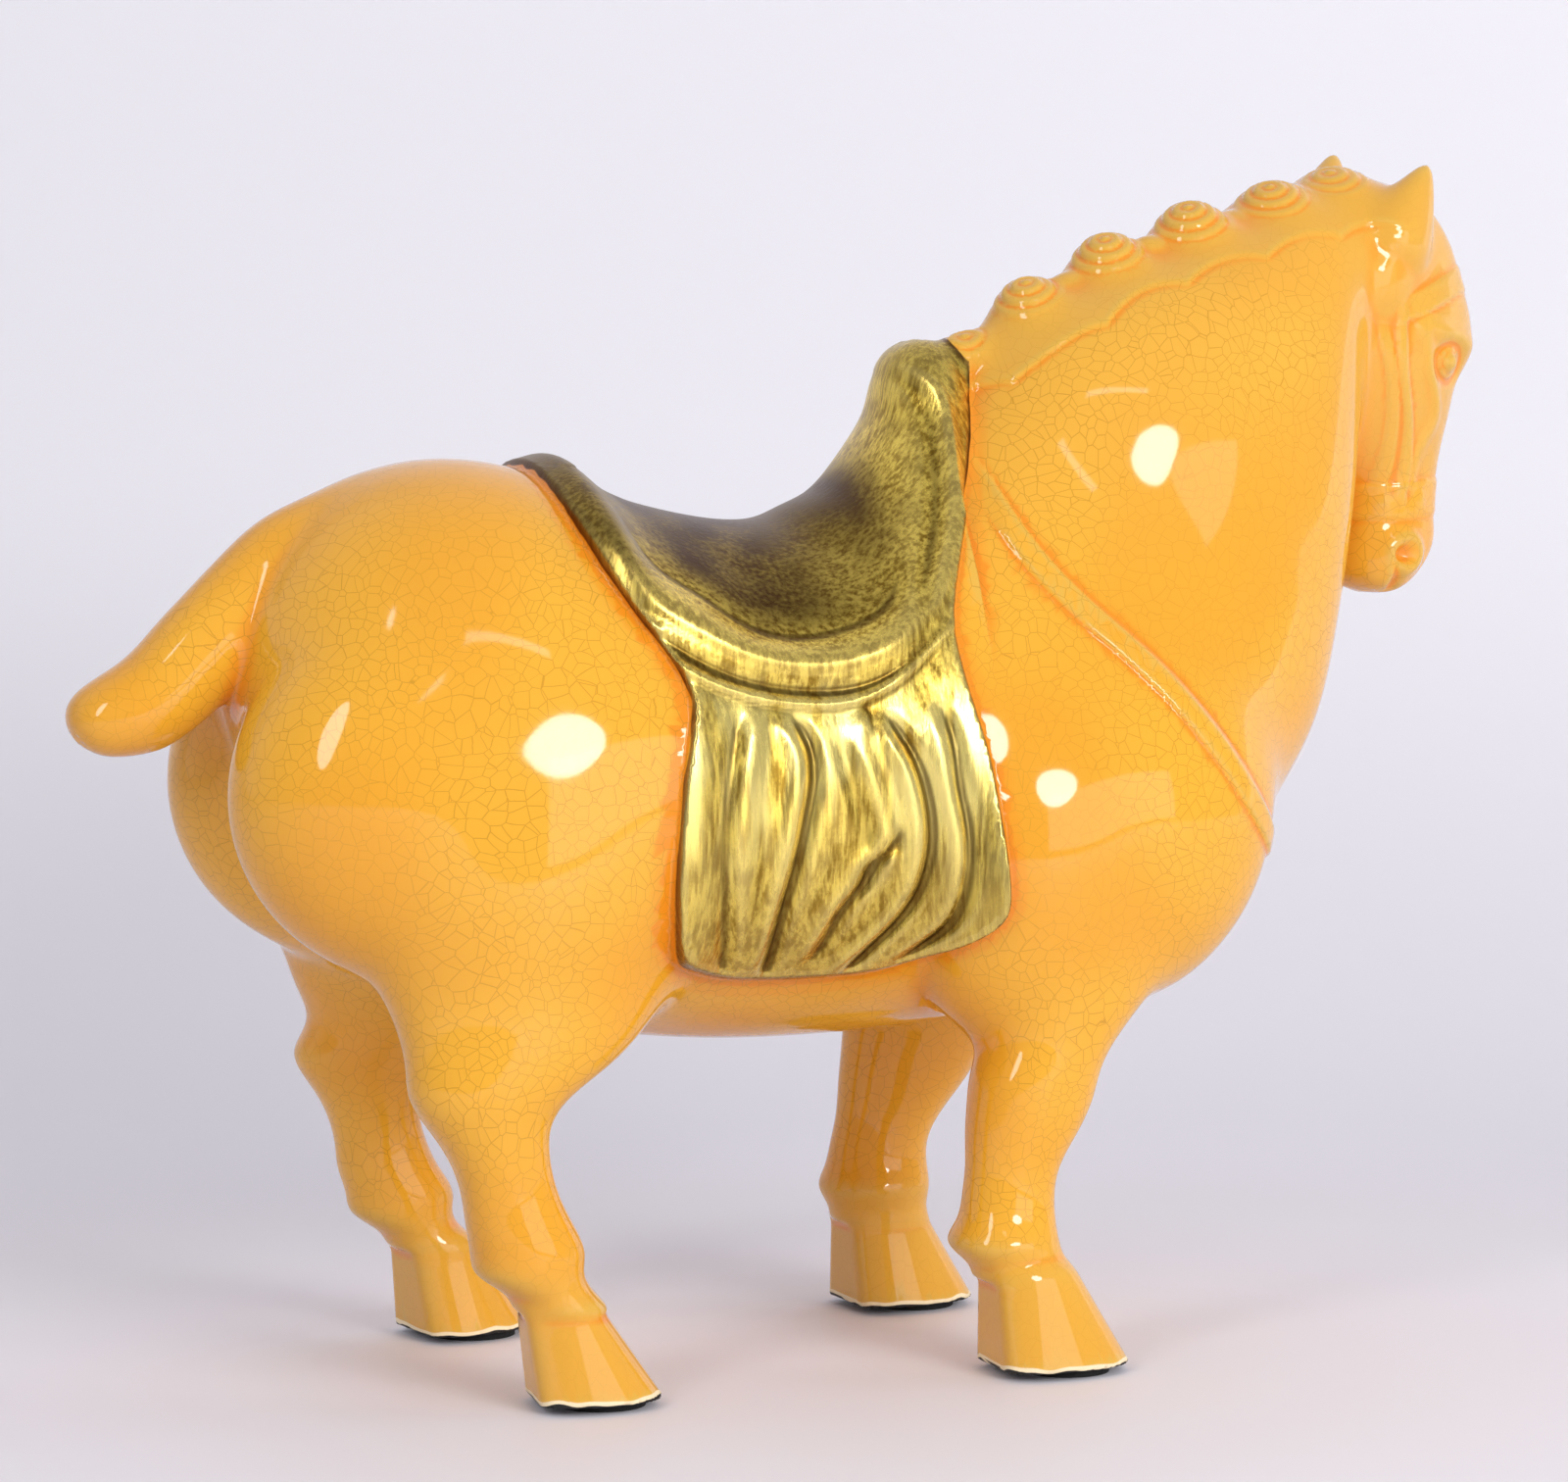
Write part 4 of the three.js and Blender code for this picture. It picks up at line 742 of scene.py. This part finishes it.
def to_mesh(name, points, faces):
    mesh = bpy.data.meshes.new(name)
    mesh.from_pydata([], [], [])
    mesh.vertices.add(len(points))
    mesh.vertices.foreach_set("co", points.astype(np.float32).ravel())
    sides = faces.shape[1]
    mesh.loops.add(faces.size)
    mesh.loops.foreach_set("vertex_index", faces.astype(np.int32).ravel())
    mesh.polygons.add(len(faces))
    mesh.polygons.foreach_set("loop_start", np.arange(0, faces.size, sides, dtype=np.int32))
    mesh.update(calc_edges=True)
    mesh.validate()
    return mesh


def read_points(mesh):
    co = np.empty(len(mesh.vertices) * 3, np.float32)
    mesh.vertices.foreach_get("co", co)
    return co.reshape(-1, 3).astype(float)


def thin_out(mesh, goal):
    """Merges triangles that carry the least shape."""
    holder = bpy.data.objects.new("thinning", mesh)
    bpy.context.scene.collection.objects.link(holder)
    modifier = holder.modifiers.new("thin", "DECIMATE")
    modifier.ratio = min(1.0, goal / (2 * len(mesh.polygons)))
    modifier.use_collapse_triangulate = True
    depsgraph = bpy.context.evaluated_depsgraph_get()
    small = bpy.data.meshes.new_from_object(holder.evaluated_get(depsgraph))
    bpy.data.objects.remove(holder)
    bpy.data.meshes.remove(mesh)
    return small


def gilded(points):
    """How far a point lies inside the gilding, in millimetres: saddle, cloth and pommel."""
    x, y, z = points.T
    inside = inside_edge(x, z)
    inside[(x < -84) | (x > 62) | (z < 90)] = -20
    swell = bare_horse(x, y, z) - pommel(x, y, z)
    swell[(z < 205) | (x < 10)] = -20
    swell = np.minimum(swell - 0.6, np.minimum(46.5 - x, 8))
    return np.minimum(np.maximum(inside, swell), knot(KNOTS[0], x, y, z) - 1.8)


def hollows(points, reach):
    """Curvature of the surface, in 1/mm: above nought in hollows, below it on ridges."""
    total = -6 * sample(points)
    for axis in range(3):
        step = np.zeros(3)
        step[axis] = reach
        total += sample(points + step) + sample(points - step)
    return -total / reach ** 2


def mottle(points, size, seed):
    """Soft random clouds of about that size in millimetres, from about -2 to 2."""
    chance = np.random.default_rng(seed)
    total = np.zeros(len(points))
    for _ in range(40):
        way = chance.normal(size=3)
        way *= chance.uniform(0.5, 1.6) * math.pi / size / np.linalg.norm(way)
        total += np.cos(points @ way + chance.uniform(0, 2 * math.pi))
    return total * math.sqrt(2 / 40)


def shaded_seat(points):
    """Where the brown ground shows most: in the dish of the seat and along the cantle."""
    x, _, z = points.T
    bowl = ramp(-3, 8, dish(x, z)) * ramp(180, 192, z)
    cantle = ramp(-40, -56, x) * ramp(198, 214, z) * 0.85
    rubbed = np.exp(-((x - 4) / 15) ** 2 - ((z - 200) / 12) ** 2)
    return np.maximum(bowl, cantle) * (1 - 0.6 * rubbed)


def craze(points):
    """How plainly the crackle shows: strongly on the body, hardly on head and mane."""
    x, y, z = points.T
    on_head = ramp(142, 158, x) * ramp(215, 235, z)
    on_mane = ramp(-15, -5, z - CREST_LINE(x)) * ramp(40, 48, x)
    on_foot = ramp(44, 24, z)
    return 1 - 0.75 * np.maximum(np.maximum(on_head, on_mane), on_foot)


def add_values(mesh, name, values):
    attribute = mesh.attributes.new(name, "FLOAT", "POINT")
    attribute.data.foreach_set("value", np.asarray(values, np.float32))


def make_horse():
    points, faces = skin(GRID_STEP)
    points = settle(points, 0.5)
    mesh = to_mesh("horse_glazed", points, faces)
    mesh = thin_out(mesh, TRIANGLE_GOAL)
    points = settle(read_points(mesh), 0.3)
    normals = slope_at(points)
    normals /= np.linalg.norm(normals, axis=1)[:, None] + 1e-9
    mesh.vertices.foreach_set("co", ((points + TO_MIDDLE) * MM).astype(np.float32).ravel())
    mesh.polygons.foreach_set("use_smooth", np.ones(len(mesh.polygons), bool))
    inside = gilded(points)
    add_values(mesh, "gilded", inside)
    add_values(mesh, "hollow", hollows(points, 1.6))
    add_values(mesh, "sunk", hollows(points, 5.0))
    add_values(mesh, "seat", shaded_seat(points))
    add_values(mesh, "tone", mottle(points, 34, 1))
    add_values(mesh, "patina", mottle(points, 9, 2))
    add_values(mesh, "cloud", mottle(points, 4.5, 3))
    add_values(mesh, "craze", craze(points))
    warp = np.stack([mottle(points, 16, 4 + axis) for axis in range(3)], 1) * 1.1 * MM
    attribute = mesh.attributes.new("warp", "FLOAT_VECTOR", "POINT")
    attribute.data.foreach_set("vector", warp.astype(np.float32).ravel())
    mesh.normals_split_custom_set_from_vertices(normals.astype(np.float32))
    mesh.update()
    piece = bpy.data.objects.new("horse_glazed", mesh)
    bpy.context.scene.collection.objects.link(piece)
    return piece


class Nodes:
    """Short calls for a material's node tree."""

    def __init__(self, name):
        self.material = bpy.data.materials.new(name)
        self.material.use_nodes = True
        self.tree = self.material.node_tree
        self.tree.nodes.clear()
        self.out = self.tree.nodes.new("ShaderNodeOutputMaterial")
        self.surface()

    def surface(self):
        """Starts a new shader, which set() then fills."""
        self.shader = self.tree.nodes.new("ShaderNodeBsdfPrincipled")
        self.put(self.out.inputs[0], self.shader.outputs[0])
        return self.shader.outputs[0]

    def cross(self, share, first, second):
        """Shows the second shader where the share is one."""
        self.put(self.out.inputs[0], self.add("MixShader", {0: share, 1: first, 2: second}))

    def put(self, socket, value):
        if isinstance(value, bpy.types.NodeSocket):
            self.tree.links.new(value, socket)
        elif isinstance(value, tuple) and socket.type == "RGBA":
            socket.default_value = (*value, 1.0)
        else:
            socket.default_value = value

    def add(self, kind, inputs=(), output=0, **settings):
        node = self.tree.nodes.new("ShaderNode" + kind)
        for key, value in settings.items():
            setattr(node, key, value)
        for key, value in dict(inputs).items():
            self.put(node.inputs[key], value)
        return node.outputs[output]

    def math(self, operation, a, b=0.0, c=0.0):
        return self.add("Math", {0: a, 1: b, 2: c}, operation=operation)

    def vector(self, operation, a, b=(0, 0, 0), scale=1.0, output=0):
        return self.add("VectorMath", {0: a, 1: b, 3: scale}, output, operation=operation)

    def mix(self, share, a, b, blend="MIX"):
        node = self.tree.nodes.new("ShaderNodeMix")
        node.data_type = "RGBA"
        node.blend_type = blend
        self.put(node.inputs[0], share)
        self.put(node.inputs[6], a)
        self.put(node.inputs[7], b)
        return node.outputs[2]

    def blend(self, share, a, b):
        node = self.tree.nodes.new("ShaderNodeMix")
        self.put(node.inputs[0], share)
        self.put(node.inputs[2], a)
        self.put(node.inputs[3], b)
        return node.outputs[0]

    def step(self, value, low, high, first=0.0, last=1.0):
        inputs = {"Value": value, 1: low, 2: high, 3: first, 4: last}
        return self.add("MapRange", inputs, interpolation_type="SMOOTHSTEP")

    def place(self, scale=(1, 1, 1), turn=(0, 0, 0)):
        spot = self.add("TexCoord", output=3)
        return self.add("Mapping", {0: spot, 2: turn, 3: scale})

    def noise(self, place, scale, detail=3.0, roughness=0.5, distortion=0.0, output=0):
        inputs = {"Vector": place, "Scale": scale, "Detail": detail, "Roughness": roughness,
                  "Distortion": distortion}
        return self.add("TexNoise", inputs, output=output)

    def value(self, name):
        return self.add("Attribute", output=2, attribute_name=name)

    def set(self, **inputs):
        for key, value in inputs.items():
            self.put(self.shader.inputs[key.replace("_", " ")], value)


def srgb(r, g, b):
    """A colour given as 0 to 255 display values, as linear light."""
    return tuple((c / 255 / 12.92) if c < 10.3 else ((c / 255 + 0.055) / 1.055) ** 2.4 for c in (r, g, b))


def crackle(n, place, cell, width):
    """Share of a crackle line between cells of about that size, as thin on a slanted wall as on any."""
    near, far = (n.add("TexVoronoi", {"Vector": place, "Scale": 1 / cell}, 2, feature=f) for f in ("F1", "F2"))
    wall = n.vector("NORMALIZE", n.vector("SUBTRACT", far, near))
    middle = n.vector("SCALE", n.vector("ADD", near, far), scale=0.5)
    away = n.vector("DOT_PRODUCT", n.vector("SUBTRACT", middle, place), wall, output=1)
    flat = n.vector("DOT_PRODUCT", wall, n.add("TexCoord", output=1), output=1)
    lean = n.math("SQRT", n.math("MAXIMUM", n.math("SUBTRACT", 1.0, n.math("MULTIPLY", flat, flat)), 0.0001))
    return n.step(n.math("DIVIDE", away, lean), 0.0, width, 1.0, 0.0)


def glaze_surface(n):
    """Glaze: orange where it pools, olive yellow where it is thin on ridges; bare clay at the feet."""
    shader = n.surface()
    place = n.place()
    hollow, sunk, tone, cloud = (n.value(k) for k in ("hollow", "sunk", "tone", "cloud"))
    color = n.mix(n.step(tone, -1.2, 1.2), srgb(225, 156, 40), srgb(228, 166, 48))
    height = n.add("SeparateXYZ", {0: n.add("TexCoord", output=3)}, output=2)
    color = n.mix(n.step(height, 0.16, 0.29, 0.0, 0.45), color, srgb(220, 169, 74))
    color = n.mix(n.step(n.value("craze"), 1.0, 0.25, 0.0, 0.6), color, srgb(216, 163, 64))
    color = n.mix(n.step(hollow, 0.02, 0.34, 0.0, 0.75), color, srgb(226, 131, 25))
    color = n.mix(n.step(hollow, -0.05, -0.45, 0.0, 0.75), color, srgb(212, 168, 72))
    color = n.mix(n.step(sunk, 0.01, 0.12, 0.0, 0.35), color, srgb(230, 140, 30))

    shift = n.add("Attribute", output=1, attribute_name="warp")
    lines = crackle(n, n.vector("ADD", place, shift), 0.0034, 0.00018)
    strength = n.math("MULTIPLY", n.value("craze"), n.step(tone, -1.4, 1.0, 0.35, 0.64))
    color = n.mix(n.math("MULTIPLY", lines, strength), color, srgb(176, 122, 26))

    tall = n.math("ADD", height, n.math("MULTIPLY", cloud, 0.0003))
    cream = n.step(tall, 0.0038, 0.0034)
    black = n.step(tall, 0.0027, 0.00255)
    color = n.mix(cream, color, srgb(238, 220, 182))
    color = n.mix(black, color, srgb(16, 15, 15))
    n.set(Base_Color=color, Roughness=n.blend(n.math("MAXIMUM", cream, black), 0.06, 0.5), IOR=1.5)
    return shader


def gold_surface(n):
    """Gilding: bright leaf brushed over a brown ground that shows on the seat, with painted shade darkening it to brown
    in hollows, lower on the cloth and at the pommel's top, and painted highlights on ridges and in bands across the
    cloth.
    """
    shader = n.surface()
    hollow, sunk, seat, inside = (n.value(k) for k in ("hollow", "sunk", "seat", "gilded"))
    patina, cloud, tone = (n.value(k) for k in ("patina", "cloud", "tone"))
    streak = n.noise(n.place((0.7, 1, 0.07)), 1000, 2.0, 0.6)
    grain = n.noise(n.place(), 1500, 1.0, 0.6)
    wear = n.math("ADD", n.math("MULTIPLY", streak, 1.5), n.math("MULTIPLY", grain, 0.25))
    wear = n.math("ADD", wear, n.math("MULTIPLY", cloud, -0.05))
    leaf = n.mix(n.step(wear, 0.55, 1.15), srgb(154, 120, 34), srgb(246, 214, 98))
    leaf = n.mix(n.step(patina, 0.2, 2.0, 0.0, 0.35), leaf, srgb(122, 92, 32))
    height = n.add("SeparateXYZ", {0: n.add("TexCoord", output=3)}, output=2)
    # painted reflection: bright streaky bands of leaf across the middle height of the cloth
    painted_reflection_bands = n.step(n.noise(n.place((1, 1, 0.16)), 150, 2.0), 0.4, 0.58)
    middle = n.math("MULTIPLY", n.step(height, 0.118, 0.150), n.step(height, 0.182, 0.166))
    leaf = n.mix(n.math("MULTIPLY", n.math("MULTIPLY", painted_reflection_bands, middle), 0.7), leaf, srgb(255, 236, 144))
    # painted shade: the leaf darkens towards the hem of the cloth and over the top of the pommel
    leaf = n.mix(n.step(height, 0.148, 0.104, 0.0, 0.45), leaf, srgb(138, 104, 34))
    leaf = n.mix(n.step(height, 0.244, 0.264, 0.0, 0.6), leaf, srgb(92, 68, 26))
    # painted highlights: paler leaf on broad swells and on ridges
    leaf = n.mix(n.step(sunk, 0.0, -0.05, 0.0, 0.15), leaf, srgb(250, 224, 130))
    leaf = n.mix(n.step(hollow, -0.05, -0.28, 0.0, 0.2), leaf, srgb(252, 230, 146))
    rubbed = n.math("ADD", n.math("MULTIPLY", streak, 1.6), n.math("MULTIPLY", n.math("ADD", tone, patina), 0.3))
    seat = n.math("MULTIPLY", seat, n.step(rubbed, 1.9, 0.5, 0.74, 1.0))
    # painted shade: leaf darkened to brown in hollows and the grooves of folds; on the seat the brown is the ground
    # showing
    brown_ground_and_painted_shade = n.math("MAXIMUM", seat, n.step(hollow, 0.04, 0.4, 0.0, 0.72))
    leaf = n.mix(brown_ground_and_painted_shade, leaf, srgb(78, 50, 16))
    leaf = n.mix(n.step(inside, 1.6, 0.1, 0.0, 0.8), leaf, srgb(92, 54, 20))
    rough = n.math("ADD", n.math("MULTIPLY", brown_ground_and_painted_shade, 0.1), n.math("MULTIPLY", streak, 0.22))
    n.set(Base_Color=leaf, Metallic=n.blend(brown_ground_and_painted_shade, 0.8, 1.0), Roughness=n.math("ADD", rough, 0.15))
    n.set(Normal=n.add("Bump", {"Strength": 0.25, "Distance": 0.0003, "Height": streak}))
    return shader


def horse_material():
    n = Nodes("glaze_and_gilding")
    glaze = glaze_surface(n)
    gold = gold_surface(n)
    edge = n.math("ADD", n.value("gilded"), n.math("MULTIPLY", n.value("cloud"), 0.08))
    n.cross(n.step(edge, -0.12, 0.12), glaze, gold)
    return n.material


def rubber_material():
    n = Nodes("pad_foam")
    place = n.place()
    pores = n.noise(place, 2400, 3.0, 0.6)
    color = n.mix(n.step(pores, 0.4, 0.7), srgb(16, 16, 16), srgb(34, 34, 35))
    n.set(Base_Color=color, Roughness=n.step(pores, 0.3, 0.7, 0.72, 0.92),
          Normal=n.add("Bump", {"Strength": 0.4, "Distance": 0.0002, "Height": pores}))
    return n.material


def floor_material():
    """A pale sweep, with painted light: lighter where it rises."""
    n = Nodes("pale_floor")
    # painted light: the sweep's colour lightens where it rises
    height = n.add("SeparateXYZ", {0: n.add("TexCoord", output=3)}, output=2)
    n.set(Base_Color=n.mix(n.step(height, 0.0, 0.22), srgb(232, 229, 236), srgb(246, 244, 250)), Roughness=0.6)
    return n.material


def make_pads(material):
    for name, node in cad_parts.items():
        if name.startswith("pad_"):
            node.data.materials.clear()
            node.data.materials.append(material)


def make_floor():
    """A pale sweep: level under the horse, rising behind it."""
    back, reach, rise, bend = 1.1, 1.7, 2.2, 0.7
    profile = [(-reach, 0.0), (back - bend, 0.0)]
    profile += [(back - bend + bend * math.sin(a), bend - bend * math.cos(a))
                for a in (math.radians(6 * k) for k in range(1, 16))]
    profile += [(back, rise)]
    half = 4.0
    points = [(side * half, y, z) for y, z in profile for side in (-1, 1)]
    turned = [(x * math.cos(VIEW_TURN) + y * math.sin(VIEW_TURN),
               y * math.cos(VIEW_TURN) - x * math.sin(VIEW_TURN), z) for x, y, z in points]
    faces = [(2 * i, 2 * i + 1, 2 * i + 3, 2 * i + 2) for i in range(len(profile) - 1)]
    mesh = bpy.data.meshes.new("floor")
    mesh.from_pydata(turned, [], faces)
    mesh.polygons.foreach_set("use_smooth", np.ones(len(faces), bool))
    mesh.materials.append(floor_material())
    floor = bpy.data.objects.new("floor", mesh)
    bpy.context.scene.collection.objects.link(floor)


def make_light(name, azimuth, elevation, distance, size, power, turn=0, shape="ELLIPSE", mirrored=True):
    """A soft light seen from the horse at that azimuth (0 is -Y, 90 is +X) and elevation."""
    data = bpy.data.lights.new(name, "AREA")
    data.shape = shape
    data.size, data.size_y = size
    data.energy = power
    light = bpy.data.objects.new(name, data)
    bpy.context.scene.collection.objects.link(light)
    a, e = math.radians(azimuth), math.radians(elevation)
    away = Vector((math.sin(a) * math.cos(e), -math.cos(a) * math.cos(e), math.sin(e)))
    light.location = Vector((0, 0, 0.16)) + away * distance
    aim = away.to_track_quat("Z", "Y").to_matrix() @ Matrix.Rotation(math.radians(turn), 3, "Z")
    light.rotation_euler = aim.to_euler()
    light.visible_glossy = mirrored


def make_lights():
    make_light("key", 10, 16, 1.9, (0.62, 0.36), 9)
    make_light("side", -54, 28, 1.9, (0.36, 1.1), 7)
    make_light("strip", -3, 37.5, 2.0, (0.8, 0.09), 0.8, turn=-10, shape="RECTANGLE")
    make_light("card", 22, 6, 2.0, (1.2, 0.6), 3.6, shape="RECTANGLE")
    make_light("fill_top", -10, 72, 2.4, (2.4, 2.4), 2.5, mirrored=False)
    make_light("fill_front", 12, 22, 2.6, (2.0, 2.0), 25, mirrored=False)
    make_light("fill_right", 76, 8, 2.4, (1.6, 1.6), 14, mirrored=False)
    world = bpy.data.worlds.new("room")
    world.use_nodes = True
    tree = world.node_tree
    spot = tree.nodes.new("ShaderNodeTexCoord").outputs["Generated"]
    split = tree.nodes.new("ShaderNodeSeparateXYZ")
    tree.links.new(spot, split.inputs[0])
    share = tree.nodes.new("ShaderNodeMapRange")
    share.interpolation_type = "SMOOTHSTEP"
    share.inputs[1].default_value, share.inputs[2].default_value = -0.3, 0.6
    tree.links.new(split.outputs[1], share.inputs[0])
    mix = tree.nodes.new("ShaderNodeMix")
    mix.data_type = "RGBA"
    mix.inputs[6].default_value = (0.44, 0.44, 0.46, 1)
    mix.inputs[7].default_value = (0.92, 0.92, 0.96, 1)
    tree.links.new(share.outputs[0], mix.inputs[0])
    shader = tree.nodes["Background"]
    tree.links.new(mix.outputs[2], shader.inputs[0])
    shader.inputs[1].default_value = 0.8
    bpy.context.scene.world = world


make_camera()
body = make_horse()
body.data.materials.append(horse_material())
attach(body, "root")
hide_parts("horse")
make_pads(rubber_material())
make_floor()
make_lights()
bpy.context.scene.view_settings.view_transform = "Standard"
